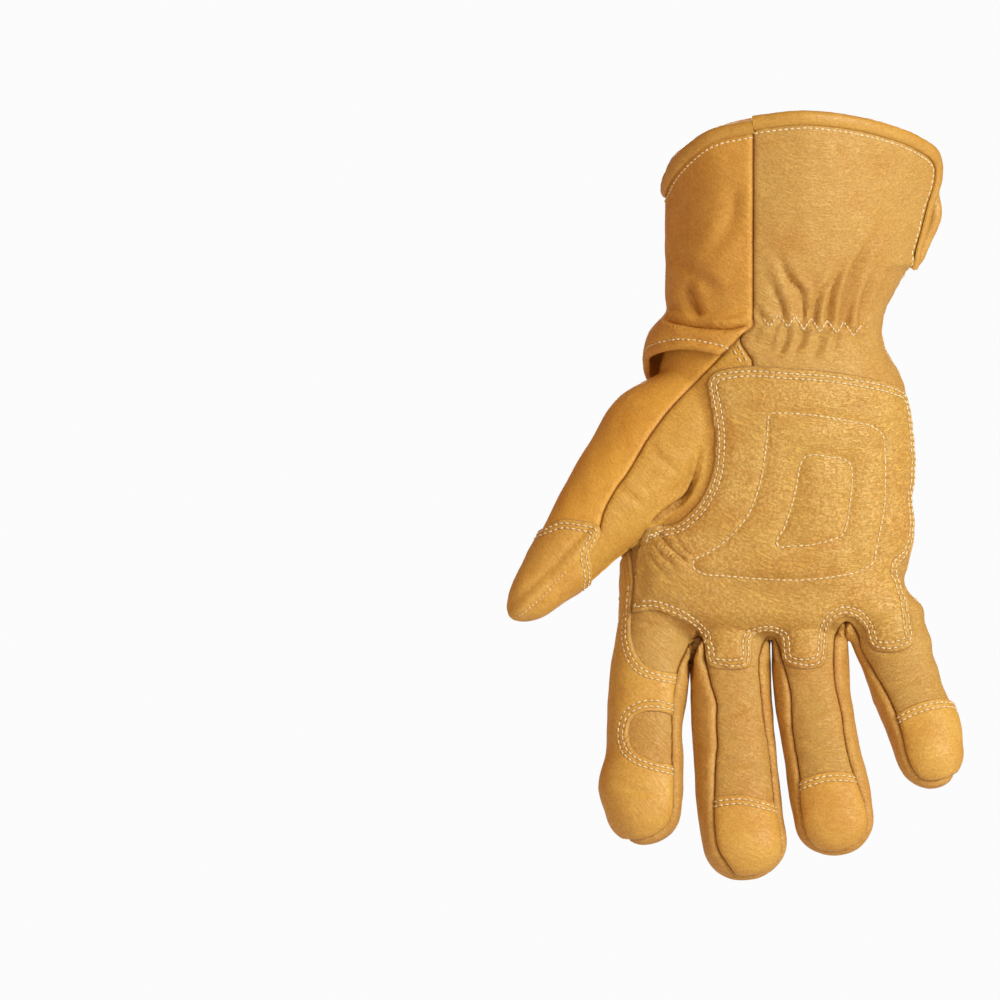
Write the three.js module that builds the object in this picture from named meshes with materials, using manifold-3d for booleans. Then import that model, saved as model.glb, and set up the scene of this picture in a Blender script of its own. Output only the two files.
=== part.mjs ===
// A right-hand leather work glove with a gauntlet cuff, shown filled, fingers down and palm forward.
// Millimetres. +Z runs from the fingertips to the cuff, the palm faces -Y and the thumb is at -X.
// The origin is the centre of the wrist, where the wearer's wrist sits.
// Every leather piece is a wall cut from one hand-shaped hull, and the reinforcements are a second layer on it.
import * as THREE from "three";
import { mergeVertices } from "three/addons/utils/BufferGeometryUtils.js";
import Module from "manifold-3d";

const wasm = await Module();
wasm.setup();

// Driving dimensions
const LEATHER = 1.8; // a panel
const PATCH = 1.5; // a reinforcement patch
const AIR = 0.3; // between two pieces that touch
const SEAM_AIR = 0.16; // each panel is cut back this much from the seam line
const SIDE_STRIP_HALF = 6; // half the width of the strips between the fingers
const BODY_SIDES = 26;
const DIGIT_SIDES = 12;
const FAR = 130; // past the glove on every side

// The cuff's edge is low at both sides, and rises over the palm and over the back of the hand.
const RIM = { side_z: 60.3, tilt: 0.06, slope: 0.76, round: 6 };
const SLIT = { bottom_z: 22, top_z: 100, bottom_half: 1.2, top_half: 5, y: 1 };
const BINDING = { depth: 5.4, leather: 1.3 };
// The cuff's hem follows the lower of the first two planes on the back, and of the last two on the palm side.
const HEM = [
  { z: -11.7, per_x: 0.15, per_y: -0.3 },
  { z: -14, per_x: -0.1, per_y: 0 },
  { z: -11, per_x: 0, per_y: 0 },
  { z: -20, per_x: 0, per_y: -1.2 },
];
const HEM_OVERLAP = 8;
const CUFF_SEAM_X = -10; // the upright seam on the palm side of the cuff

// Sections of the hand and cuff: centre, half sizes, and how square the thumb side and the little-finger side are.
const BODY = [
  { z: 98, x: 9.8, y: 0, wide: 57.5, deep: 41, radial: 2.2, ulnar: 1.7 },
  { z: 40, x: 8.2, y: 0, wide: 53.5, deep: 37, radial: 2.2, ulnar: 1.75 },
  { z: 20, x: 2.4, y: 0, wide: 47.2, deep: 33, radial: 2.2, ulnar: 1.9 },
  { z: 4, x: -1, y: 0, wide: 43.2, deep: 30, radial: 2.2, ulnar: 2.1 },
  { z: -12, x: -1, y: 0.5, wide: 45, deep: 30, radial: 2.2, ulnar: 2.2 },
  { z: -32, x: 1.6, y: 1, wide: 50.8, deep: 30.6, radial: 2.3, ulnar: 2.3 },
  { z: -60, x: 0, y: 1.5, wide: 54.2, deep: 28.6, radial: 2.3, ulnar: 2.4 },
  { z: -88, x: -3.6, y: 1.5, wide: 57.6, deep: 25, radial: 2.4, ulnar: 2.5 },
  { z: -108, x: -4.2, y: 1, wide: 60, deep: 20.5, radial: 2.4, ulnar: 2.5 },
  { z: -122, x: -3, y: 1, wide: 54, deep: 13, radial: 2.4, ulnar: 2.4 },
];

// The cuff's lower part stands off over the hand, most at the thumb.
const CUFF_SKIRT = [
  { z: 12, x: 0.5, y: 0, wide: 45.2, deep: 31.5, radial: 2.2, ulnar: 2 },
  { z: 3, x: -2, y: 0, wide: 44.6, deep: 32.2, radial: 2.2, ulnar: 2.1 },
  { z: -8, x: -3.8, y: 0.3, wide: 49, deep: 33.4, radial: 2.2, ulnar: 2.2 },
  { z: -19, x: -1.6, y: 0.5, wide: 51.4, deep: 34.2, radial: 2.3, ulnar: 2.3 },
  { z: -36, x: 0.8, y: 1, wide: 57.8, deep: 35, radial: 2.3, ulnar: 2.3 },
];

// Each digit's centre line and half sizes, from its root inside the hand to its tip.
const DIGITS = {
  index: [
    { z: -94, x: -45.5, y: 1.5, wide: 12, deep: 12 },
    { z: -122, x: -50.5, y: 0.4, wide: 14.9, deep: 14.4 },
    { z: -154, x: -53, y: -4.2, wide: 15.3, deep: 14 },
    { z: -184, x: -54.8, y: -12, wide: 16, deep: 13.4 },
    { z: -196, x: -55, y: -15.8, wide: 15.2, deep: 12.2 },
    { z: -203, x: -54.3, y: -18.4, wide: 11.6, deep: 9.6 },
    { z: -206.4, x: -53.8, y: -19.5, wide: 7, deep: 6 },
  ],
  middle: [
    { z: -94, x: -18.2, y: 2, wide: 13, deep: 13 },
    { z: -124, x: -18.8, y: 0.9, wide: 15, deep: 14.8 },
    { z: -158, x: -17.8, y: -4, wide: 15.9, deep: 14.4 },
    { z: -192, x: -15.2, y: -14, wide: 16.2, deep: 13.6 },
    { z: -208, x: -13.3, y: -19.8, wide: 15.2, deep: 12.2 },
    { z: -216, x: -12.3, y: -22.8, wide: 11.6, deep: 9.4 },
    { z: -220, x: -11.9, y: -24.2, wide: 7, deep: 6 },
  ],
  ring: [
    { z: -94, x: 8.4, y: 1.5, wide: 12.4, deep: 12.4 },
    { z: -124, x: 12, y: 0.3, wide: 14.2, deep: 14.2 },
    { z: -156, x: 15.2, y: -4.8, wide: 14.8, deep: 13.8 },
    { z: -186, x: 20.2, y: -14.5, wide: 15.9, deep: 13 },
    { z: -199, x: 22.5, y: -19.4, wide: 14.6, deep: 11.6 },
    { z: -206.5, x: 23.3, y: -22.3, wide: 10.8, deep: 8.8 },
    { z: -210, x: 23.5, y: -23.6, wide: 6.4, deep: 5.6 },
  ],
  little: [
    { z: -88, x: 33, y: 1, wide: 11, deep: 11 },
    { z: -114, x: 40.2, y: 0.4, wide: 13.1, deep: 12.6 },
    { z: -140, x: 50, y: -3.2, wide: 13.9, deep: 12.6 },
    { z: -162, x: 59, y: -10.5, wide: 14.3, deep: 11.8 },
    { z: -172, x: 61.3, y: -14.5, wide: 13, deep: 10.8 },
    { z: -178.5, x: 61.2, y: -17.4, wide: 9.6, deep: 8.2 },
    { z: -182, x: 60.8, y: -18.7, wide: 6, deep: 5.2 },
  ],
  thumb: [
    { z: -20, x: -25, y: -3, wide: 14, deep: 16 },
    { z: -36, x: -36.5, y: -6, wide: 19.5, deep: 19.5 },
    { z: -51, x: -51, y: -9.5, wide: 25, deep: 19.5 },
    { z: -76, x: -73, y: -16.8, wide: 18.8, deep: 16.6 },
    { z: -92, x: -86, y: -21.4, wide: 14.8, deep: 13.6 },
    { z: -104, x: -96.2, y: -24.6, wide: 10.6, deep: 10 },
    { z: -111, x: -101.6, y: -26.4, wide: 5.4, deep: 5.2 },
  ],
};
const FINGERS = ["index", "middle", "ring", "little"];

// A three.js geometry as a solid that can be joined and cut.
function solidOf(geometry) {
  const bare = geometry.clone();
  bare.deleteAttribute("normal");
  bare.deleteAttribute("uv");
  const merged = mergeVertices(bare, 1e-4);
  return new wasm.Manifold(
    new wasm.Mesh({
      numProp: 3,
      vertProperties: new Float32Array(merged.attributes.position.array),
      triVerts: new Uint32Array(merged.index.array),
    }),
  );
}

function join(...solids) {
  return solids.reduce((all, next) => all.add(next));
}

// Moves each vertex of a geometry to the place that the given function works out for it.
function reshape(geometry, place) {
  const spots = geometry.attributes.position;
  const spot = new THREE.Vector3();
  for (let i = 0; i < spots.count; i++) {
    spot.fromBufferAttribute(spots, i);
    spots.setXYZ(i, ...place(spot).toArray());
  }
  return geometry;
}

// A point of a superellipse: power 2 is an ellipse, more is squarer and less is more pointed.
function rounded(value, power) {
  return Math.sign(value) * Math.abs(value) ** (2 / power);
}

// A closed tube through the rows, from top to bottom, each section square to the line of their centres.
function tube(rows, grow, sides) {
  const centres = rows.map((row) => new THREE.Vector3(row.x, row.y, row.z));
  const last = rows.length - 1;
  const frames = rows.map((row, i) => {
    const up = centres[Math.max(i - 1, 0)].clone().sub(centres[Math.min(i + 1, last)]).normalize();
    if (row.radial) up.set(0, 0, 1);
    const across = new THREE.Vector3(1, 0, 0).addScaledVector(up, -up.x).normalize();
    return { across, front: across.clone().cross(up) };
  });
  return solidOf(
    reshape(new THREE.CylinderGeometry(1, 1, 1, sides, last), (spot) => {
      const i = Math.round((0.5 - spot.y) * last);
      const row = rows[i];
      const power = (spot.x < 0 ? row.radial : row.ulnar) ?? 2.3;
      const wide = rounded(spot.x, power) * (row.wide + grow);
      const deep = rounded(spot.z, power) * (row.deep + grow);
      return centres[i]
        .clone()
        .addScaledVector(frames[i].across, wide)
        .addScaledVector(frames[i].front, deep);
    }),
  );
}

// A digit grown by a leather layer also grows past its tip.
function digit(rows, grow) {
  const root = rows.at(-2);
  const tip = rows.at(-1);
  const run = new THREE.Vector3(tip.x - root.x, tip.y - root.y, tip.z - root.z).normalize();
  const moved = { ...tip, x: tip.x + run.x * grow, y: tip.y + run.y * grow, z: tip.z + run.z * grow };
  return tube([...rows.slice(0, -1), moved], grow, DIGIT_SIDES);
}

// The whole hand with its cuff, grown by a leather layer. An inner hull runs out past the cuff's end.
function hull(grow, past_end = 0) {
  const last = BODY.length - 1;
  const rows = BODY.map((row, i) => {
    const moved = i === 0 ? past_end : i === last ? -grow : 0;
    return { ...row, z: row.z + moved };
  });
  return join(tube(rows, grow, BODY_SIDES), ...Object.values(DIGITS).map((rows) => digit(rows, grow)));
}

// A digit's centre at a height, running straight on past both of its ends.
function centreAt(rows, z, key) {
  const i = Math.min(Math.max(rows.findIndex((row) => row.z < z), 1), rows.length - 1);
  const at = z < rows.at(-1).z ? rows.length - 1 : i;
  const [above, below] = [rows[at - 1], rows[at]];
  return above[key] + ((below[key] - above[key]) * (z - above.z)) / (below.z - above.z);
}

// Upright lines across the hand, which follow the fingers down and draw together towards the cuff.
const LINES = [
  { x: () => -FAR, finger: "index", strip: 0 },
  { x: (z) => lineAt("index", z) - 0.5, finger: "index", strip: 0 },
  ...FINGERS.map((finger) => ({ x: (z) => lineAt(finger, z), finger, strip: 1 })),
  { x: (z) => lineAt("little", z) + 0.5, finger: "little", strip: 0 },
  { x: () => FAR, finger: "little", strip: 0 },
];
const KNUCKLE_Z = -94;
const HEIGHT = { low: -236, high: FAR, steps: 12 };

function lineAt(finger, z) {
  const rows = DIGITS[finger];
  const root_x = centreAt(rows, KNUCKLE_Z, "x");
  return z > KNUCKLE_Z ? (root_x * (FAR - z)) / (FAR - KNUCKLE_Z) : centreAt(rows, z, "x");
}

function middleY(finger, z) {
  const knuckle_y = centreAt(DIGITS[finger], KNUCKLE_Z, "y");
  return z > KNUCKLE_Z ? (knuckle_y * (FAR - z)) / (FAR - KNUCKLE_Z) : centreAt(DIGITS[finger], z, "y");
}

// The space between two surfaces that follow the middle of the hand, each so many strip widths and so far from it.
function between(front, back) {
  const box = new THREE.BoxGeometry(LINES.length - 1, 1, 1, LINES.length - 1, 1, HEIGHT.steps);
  return solidOf(
    reshape(box, (spot) => {
      const line = LINES[Math.round(spot.x + (LINES.length - 1) / 2)];
      const z = THREE.MathUtils.lerp(HEIGHT.low, HEIGHT.high, spot.z + 0.5);
      const face = spot.y < 0 ? front : back;
      const y = middleY(line.finger, z) + face.strips * line.strip * SIDE_STRIP_HALF + face.off;
      return new THREE.Vector3(line.x(z), y, z);
    }),
  );
}
const palmSide = (off = 0) => between({ strips: 0, off: -FAR }, { strips: -1, off: -off });
const backSide = (off = 0) => between({ strips: 1, off }, { strips: 0, off: FAR });

// A straight-sided block through the glove: a shape drawn in X and Z, from one depth to another.
function block(points, { front = -FAR, back = FAR, shift = 0, smooth = false } = {}) {
  const corners = points.map(([x, z]) => new THREE.Vector2(x + shift, z));
  const shape = smooth ? smoothShape(corners) : new THREE.Shape(corners);
  const depth = back - front;
  const solid = new THREE.ExtrudeGeometry(shape, { depth, bevelEnabled: false, steps: 1 });
  return solidOf(solid.rotateX(Math.PI / 2).translate(0, back, 0));
}

// A smooth closed outline through a few points.
function smoothShape(corners) {
  const curve = new THREE.CatmullRomCurve3(
    corners.map((corner) => new THREE.Vector3(corner.x, corner.y, 0)),
    true,
    "centripetal",
  );
  const points = curve.getPoints(Math.round(corners.length * 1.4)).slice(0, -1);
  return new THREE.Shape(points.map((point) => new THREE.Vector2(point.x, point.y)));
}

// What is cut away above the cuff's edge, which is lowered by some depth.
function aboveRim(depth) {
  const half = 60;
  const steps = 10;
  const points = [];
  for (let i = 0; i <= steps; i++) {
    const y = -half + (2 * half * i) / steps;
    const rise = RIM.slope * (Math.hypot(y, RIM.round) - RIM.round);
    points.push(new THREE.Vector2(y, RIM.side_z + rise - depth * Math.hypot(1, RIM.slope * 0.8)));
  }
  points.push(new THREE.Vector2(half, FAR + half), new THREE.Vector2(-half, FAR + half));
  const tilt = new THREE.Matrix4().set(1, 0, 0, 0, 0, 1, 0, 0, RIM.tilt, 0, 1, 0, 0, 0, 0, 1);
  return sideways(points, -FAR, FAR, tilt);
}

// The slit at the little-finger side of the cuff, widened by some depth.
function slit(depth) {
  const { bottom_z, top_z, bottom_half, top_half, y } = SLIT;
  const low = Math.max(bottom_half + depth, 0.2);
  const high = top_half + depth;
  const points = [
    new THREE.Vector2(y - low, bottom_z - depth),
    new THREE.Vector2(y + low, bottom_z - depth),
    new THREE.Vector2(y + high, top_z),
    new THREE.Vector2(y - high, top_z),
  ];
  return sideways(points, 20, FAR);
}

// A block whose outline is drawn in Y and Z, from one X to another.
function sideways(points, from, to, tilt = new THREE.Matrix4()) {
  const solid = new THREE.ExtrudeGeometry(new THREE.Shape(points), { depth: to - from, bevelEnabled: false });
  solid.applyMatrix4(new THREE.Matrix4().set(0, 0, 1, from, 1, 0, 0, 0, 0, 1, 0, 0, 0, 0, 0, 1));
  return solidOf(solid.applyMatrix4(tilt));
}

// Everything below the cuff's hem, raised by some height.
function belowHem(raised) {
  const size = 2 * FAR;
  const [back, back_ulnar, palm, palm_side] = HEM.map((plane) =>
    solidOf(
      reshape(new THREE.BoxGeometry(size, size, 1), (spot) => {
        const top = plane.z + raised + spot.x * plane.per_x + spot.y * plane.per_y;
        return new THREE.Vector3(spot.x, spot.y, spot.z > 0 ? top : -2 * size);
      }),
    ),
  );
  return join(back.intersect(back_ulnar), palm.intersect(palm_side));
}

// Seam lines as X and Z, from the cuff down. This one parts the thumb's two panels on the palm side.
const THUMB_SEAM = [
  [-31, -23],
  [-47, -41],
  [-61, -62],
  [-70, -80],
  [-75, -90],
  [-101, -114],
];
// The seam between the palm and the thumb
const PALM_EDGE = [
  [CUFF_SEAM_X, 1],
  [-17.5, -8],
  [-14.5, -14],
  [-18, -24],
  [-21, -45],
  [-25, -59],
  [-34, -71],
  [-47, -79.5],
  [-58.4, -88],
];
// The seam between the back of the hand and the thumb.
const THUMB_BACK_SEAM = [
  [-47, 20],
  [-45, -22],
  [-41, -44],
  [-47.5, -69],
  [-58.4, -88],
];
// The gap between the thumb and the index finger
const THUMB_GAP = [
  [-61, -91],
  [-64.6, -96],
  [-67, -101],
  [-69.6, -110],
  [-72, -130],
];
const below = [[-FAR, -2 * FAR], [FAR, -2 * FAR]];
const palmOutline = [[CUFF_SEAM_X, FAR], ...PALM_EDGE, ...THUMB_GAP, ...below, [FAR, FAR]];
const thumbOutline = [...PALM_EDGE, ...THUMB_GAP, [-FAR, -FAR], [-FAR, 5], [CUFF_SEAM_X, 5]];
const thumbPalmOutline = [[-17.5, -8], [0, -8], [0, -FAR], [-101, -FAR], ...THUMB_SEAM.toReversed()];
const backOutline = [...THUMB_BACK_SEAM, ...THUMB_GAP, ...below, [FAR, 20]];
const thumbBackOutline = [...THUMB_BACK_SEAM, ...THUMB_GAP, [-FAR, -FAR], [-FAR, 20]];

// Where the thumb's front half ends, on the side that faces the index finger.
function thumbFront(off) {
  const deep = 2 * FAR;
  return solidOf(
    reshape(new THREE.BoxGeometry(deep, 1, deep), (spot) => {
      const middle = -9.5 + 0.28 * (spot.z + 51) - off;
      return new THREE.Vector3(spot.x, spot.y < 0 ? -deep : middle, spot.z);
    }),
  );
}

const outer = hull(0);
const wall = outer.subtract(hull(-LEATHER, 4));
const aboveCuff = aboveRim(0).add(slit(0));
const underCuff = belowHem(HEM_OVERLAP);

// Palm and fingers in one piece, up to the edge of the cuff
function palmPanel() {
  return wall
    .intersect(palmSide(SEAM_AIR))
    .intersect(block(palmOutline, { shift: SEAM_AIR }))
    .subtract(aboveCuff);
}

// The back of the hand with the backs of the fingers, up under the cuff
function backPanel() {
  return wall
    .intersect(backSide(SEAM_AIR))
    .intersect(block(backOutline, { shift: SEAM_AIR }))
    .intersect(underCuff);
}

const thumbWall = wall
  .intersect(
    join(
      palmSide(0).intersect(block(thumbOutline, { shift: -SEAM_AIR })),
      backSide(-1).intersect(block(thumbBackOutline, { shift: -SEAM_AIR })),
    ),
  )
  .intersect(underCuff);

function thumbPalmPanel() {
  return thumbWall.intersect(block(thumbPalmOutline, { shift: SEAM_AIR })).intersect(thumbFront(SEAM_AIR));
}

function thumbBackPanel() {
  return thumbWall.subtract(
    block(thumbPalmOutline, { shift: -SEAM_AIR }).intersect(thumbFront(-SEAM_AIR)),
  );
}

// The strip between two fingers: down one side, round the root and down the other, and half round both tips
function sideStrip(first, second) {
  const z_top = -84;
  const z_bottom = -240;
  const steps = 12;
  const zs = Array.from({ length: steps + 1 }, (_, i) => z_top + ((z_bottom - z_top) * i) / steps);
  const left = zs.map((z) => [lineAt(first, z) + SEAM_AIR, z]);
  const right = zs.map((z) => [lineAt(second, z) - SEAM_AIR, z]);
  return wall
    .intersect(between({ strips: -1, off: SEAM_AIR }, { strips: 1, off: -SEAM_AIR }))
    .intersect(block([...left, ...right.reverse()]));
}

// The back of the cuff, round the thumb side to the upright seam, with its lower part over the hand
function cuffBackPanel() {
  const rows = [...BODY.slice(0, 3), ...CUFF_SKIRT];
  const inner = rows.map((row, i) => {
    const past = i === 0 ? 4 : i === rows.length - 1 ? -4 : 0;
    return { ...row, z: row.z + past };
  });
  const palm = [[CUFF_SEAM_X, FAR], [CUFF_SEAM_X, 1], [-25, -16], [-25, -60], [-FAR, -60], [-FAR, FAR]];
  return tube(rows, 0, BODY_SIDES)
    .subtract(tube(inner, -LEATHER, BODY_SIDES))
    .intersect(join(backSide(SEAM_AIR), block(palm, { shift: -SEAM_AIR, back: 4 })))
    .subtract(belowHem(0))
    .subtract(aboveCuff);
}

// The leather strip folded over the cuff's edge, on one side of the upright seam and the slit
function binding(side) {
  const { depth, leather } = BINDING;
  const grown = leather + AIR;
  const edge = aboveRim(depth).add(slit(depth)).subtract(aboveRim(-grown).add(slit(-grown)));
  const held = hull(AIR).subtract(hull(-LEATHER - AIR, 4)).subtract(aboveRim(-AIR).add(slit(-AIR)));
  const strip = hull(grown).subtract(hull(-LEATHER - grown, 6)).intersect(edge).subtract(held);
  const outline = [[CUFF_SEAM_X, FAR], [FAR, FAR], [FAR, SLIT.bottom_z - 3], [CUFF_SEAM_X, SLIT.bottom_z - 3]];
  const slit_half = block([[20, FAR], [FAR, FAR], [FAR, 0], [20, 0]], { front: SLIT.y });
  const palm = (shift, air) =>
    block(outline, { shift, back: 0 }).subtract(slit_half.translate([0, -air, 0]));
  return side === "palm" ? strip.intersect(palm(SEAM_AIR, 0.2)) : strip.subtract(palm(-SEAM_AIR, -0.2));
}

// The second layer, on top of the panels
const layer = hull(AIR + PATCH).subtract(hull(AIR));

// The second layer on one finger and the hand above it
function fingerLayer(finger) {
  const [inside, outside] = [AIR, AIR + PATCH].map((grow) =>
    join(tube(BODY, grow, BODY_SIDES), digit(DIGITS[finger], grow)),
  );
  return outside.subtract(inside);
}

// The padded palm patch, which runs down on to the root of each finger and up round each gap
const PALM_PAD = [
  [-26.4, -19],
  [-15, -15.4],
  [6, -16],
  [30, -20.6],
  [47, -27.5],
  [52, -37],
  [53, -60],
  [52.5, -84],
  [48.5, -99],
  [52, -110],
  [54.5, -121],
  [51.5, -131],
  [41, -131],
  [36, -122],
  [32, -114],
  [25, -110.6],
  [19.5, -114],
  [17.6, -124],
  [15.6, -135],
  [4.4, -135.4],
  [1.6, -127],
  [-2.4, -120.4],
  [-8.4, -119],
  [-12.8, -124],
  [-16, -136],
  [-28, -136],
  [-31.4, -125],
  [-37, -117.6],
  [-47, -112.8],
  [-59.4, -111.8],
  [-58.6, -98],
  [-55, -86.4],
  [-45, -79.4],
  [-36, -70.4],
  [-30, -57],
  [-27.6, -42],
];
function palmPad() {
  return layer.intersect(palmSide(2)).intersect(block(PALM_PAD, { smooth: true }));
}

// The padded band over the knuckles
const KNUCKLE_BAND = [
  [66, -58],
  [52, -60],
  [34, -67],
  [12, -70.6],
  [-14, -71],
  [-34, -73],
  [-44, -78],
  [-48.6, -87],
  [-47.4, -99],
  [-40, -107.6],
  [-24, -112.6],
  [0, -114.6],
  [24, -115],
  [46, -113.6],
  [66, -110],
];
function knuckleBand() {
  return layer.intersect(backSide(1)).intersect(block(KNUCKLE_BAND, { smooth: true }));
}

// The index patch: round the finger's thumb side, across the palm side between two bare windows, and over the tip
const INDEX_PATCH = [
  ...THUMB_GAP.toReversed(),
  [-60.6, -113],
  [-59.6, -122],
  [-57, -131],
  [-50, -136],
  [-38, -139],
  [-38, -152.6],
  [-52, -152.4],
  [-58.6, -155.4],
  [-61, -162],
  [-58, -170],
  [-51, -174],
  [-38, -176.4],
  [-32, -2 * FAR],
  [-82, -2 * FAR],
];
function indexPatch() {
  const side_shape = [...THUMB_GAP.toReversed(), [-52.6, -91], [-55.6, -215], [-FAR, -215]];
  const thumb_side = block(side_shape, { back: 9 });
  const tip = block([[-FAR, -188], [-36, -188], [-34, -220], [-FAR, -220]]);
  const palm = block(INDEX_PATCH).intersect(palmSide(SEAM_AIR));
  const side = thumb_side.intersect(between({ strips: 0, off: -9 }, { strips: 0, off: 10 }));
  const back = tip.intersect(join(backSide(SEAM_AIR), palmSide(SEAM_AIR)));
  return fingerLayer("index").intersect(join(palm, side, back));
}

// Fingertip patches: the height of the upper edge on the palm side and on the back, at the finger's two sides
const TIP_PATCHES = [
  { finger: "middle", left: -34, right: 2.4, palm: [-187.6, -191], back: [-196, -194] },
  { finger: "ring", left: 3, right: 42, palm: [-182, -178], back: [-188, -186] },
  { finger: "little", left: 38, right: 84, palm: [-156, -147], back: [-164, -156] },
];
function tipPatch({ finger, left, right, palm, back }, side) {
  const [left_z, right_z] = side === "palm" ? palm : back;
  const half = side === "palm" ? palmSide(SEAM_AIR) : backSide(SEAM_AIR);
  const outline = [[left, left_z], [right, right_z], [right, -2 * FAR], [left, -2 * FAR]];
  const finger_layer = digit(DIGITS[finger], AIR + PATCH).subtract(digit(DIGITS[finger], AIR));
  return finger_layer.intersect(half).intersect(block(outline));
}

// The thumb patch: over the tip, and up the side that faces the index finger into the gap between the two
const THUMB_PATCH_PALM = [
  [-FAR, -100],
  [-97, -84],
  [-87, -77.6],
  [-71, -80.4],
  [-80, -91],
  [-77.5, -97],
  [-79, -106],
  [-76, -FAR],
  [-FAR, -FAR],
];
const THUMB_PATCH_BACK = [
  [-57.4, -87],
  [-49.4, -71.6],
  [-55, -67],
  [-65, -66.6],
  [-75, -69],
  [-86, -75],
  [-97, -84],
  [-FAR, -100],
  [-FAR, -FAR],
  ...THUMB_GAP.toReversed().map(([x, z]) => [x - 1, z]),
];
function thumbPatch() {
  const front = thumbFront(0);
  const palm = block(THUMB_PATCH_PALM).intersect(front);
  return layer.intersect(join(palm, block(THUMB_PATCH_BACK).subtract(front)));
}

// Colours of the leathers
const COLOURS = {
  panel: 0xc99a55,
  cuff: 0xcf9d52,
  patch: 0xd0984a,
  strip: 0xbf8440,
  binding: 0xd3a050,
};

const glove = new THREE.Group();

function addPiece(name, solid, colour, roughness) {
  const { vertProperties, triVerts, numProp } = solid.getMesh();
  const spots = new Float32Array((vertProperties.length / numProp) * 3);
  for (let i = 0; i < spots.length / 3; i++) spots.set(vertProperties.subarray(i * numProp, i * numProp + 3), i * 3);
  const geometry = new THREE.BufferGeometry();
  geometry.setAttribute("position", new THREE.BufferAttribute(spots, 3));
  geometry.setIndex(new THREE.BufferAttribute(new Uint32Array(triVerts), 1));
  geometry.computeVertexNormals();
  const leather = new THREE.MeshStandardMaterial({ color: COLOURS[colour], roughness, metalness: 0 });
  const piece = new THREE.Mesh(geometry, leather);
  piece.name = name;
  glove.add(piece);
}

addPiece("palm_panel", palmPanel(), "panel", 0.7);
addPiece("back_panel", backPanel(), "panel", 0.6);
addPiece("thumb_palm_panel", thumbPalmPanel(), "panel", 0.65);
addPiece("thumb_back_panel", thumbBackPanel(), "panel", 0.6);
addPiece("cuff_back_panel", cuffBackPanel(), "cuff", 0.6);
for (let i = 1; i < FINGERS.length; i++) {
  const pair = [FINGERS[i - 1], FINGERS[i]];
  addPiece("side_strip_" + pair.join("_"), sideStrip(...pair), "strip", 0.65);
}
addPiece("cuff_binding_palm", binding("palm"), "binding", 0.55);
addPiece("cuff_binding_back", binding("back"), "binding", 0.55);
addPiece("palm_pad", palmPad(), "patch", 0.6);
addPiece("knuckle_band", knuckleBand(), "patch", 0.55);
addPiece("index_patch", indexPatch(), "patch", 0.6);
addPiece("thumb_patch", thumbPatch(), "patch", 0.6);
for (const row of TIP_PATCHES) {
  addPiece(row.finger + "_tip_patch_palm", tipPatch(row, "palm"), "patch", 0.6);
  addPiece(row.finger + "_tip_patch_back", tipPatch(row, "back"), "patch", 0.6);
}

export default glove;
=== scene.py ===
import math

import bpy
import numpy as np
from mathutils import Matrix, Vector
from mathutils.bvhtree import BVHTree
from mathutils.kdtree import KDTree


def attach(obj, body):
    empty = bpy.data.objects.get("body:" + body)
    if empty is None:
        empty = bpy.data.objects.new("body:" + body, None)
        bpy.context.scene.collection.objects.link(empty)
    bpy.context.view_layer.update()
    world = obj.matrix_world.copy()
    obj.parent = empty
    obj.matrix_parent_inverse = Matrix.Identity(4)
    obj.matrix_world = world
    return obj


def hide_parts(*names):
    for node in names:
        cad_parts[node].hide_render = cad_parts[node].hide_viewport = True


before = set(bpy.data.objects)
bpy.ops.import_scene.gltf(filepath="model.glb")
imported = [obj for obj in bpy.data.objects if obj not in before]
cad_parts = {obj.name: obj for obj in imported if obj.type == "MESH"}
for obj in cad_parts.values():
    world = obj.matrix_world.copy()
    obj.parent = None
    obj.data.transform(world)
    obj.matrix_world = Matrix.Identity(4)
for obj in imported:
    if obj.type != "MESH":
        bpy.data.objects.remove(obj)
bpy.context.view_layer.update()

# Glove form
# The shape that the hand gives to the leather. Hand and cuff are one tube, with one more for each digit.
# A second tube is the back of the cuff. It isn't shown: the leather pieces are cut from its skin.
MM = 0.001
SKIN_MESH = 1.2
SLIM = 0.6  # the tubes are made slimmer by this and filled out again, so that the fingers stay apart
CREASE_SHADE = 6  # a skin's points have their place, their normal, and in this column the painted shade of their creases


def rows_of(keys, rows):
    return [dict(zip(keys.split(), row)) for row in rows]


# In millimetres: height, centre, half width and half depth, and how square the thumb side and the
# little-finger side are. The lower end of the cuff stands off over the hand, most at the thumb.
HAND_KEYS = "z x y wide deep radial ulnar"
HAND_ROWS = rows_of(HAND_KEYS, [
    (104, 10.2, 0, 58, 41.6, 2.2, 1.5), (66, 9.8, 0, 56.4, 40, 2.2, 1.5),
    (40, 8.4, 0, 53.4, 37, 2.2, 1.55), (20, 2.6, 0, 47.2, 33, 2.2, 1.8), (4, -1, 0, 43.4, 30, 2.2, 2.1),
    (-5, -1.6, 0.2, 43.4, 29.6, 2.2, 2.2), (-12, -0.4, 0.5, 45.4, 30, 2.2, 2.2),
    (-20, 1.2, 0.7, 48.4, 30.6, 2.2, 2.3), (-32, 2.2, 1, 50.4, 30.8, 2.3, 2.3),
    (-60, 0.4, 1.5, 54, 28.8, 2.3, 2.4), (-88, -3.4, 1.5, 57.6, 25.4, 2.4, 2.5),
    (-106, -3.8, 1, 60, 21.5, 2.4, 2.5), (-118, -3, 0.6, 57.5, 16, 2.4, 2.4),
    (-123, -3, 0.4, 52, 9, 2.3, 2.3),
])
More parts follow.
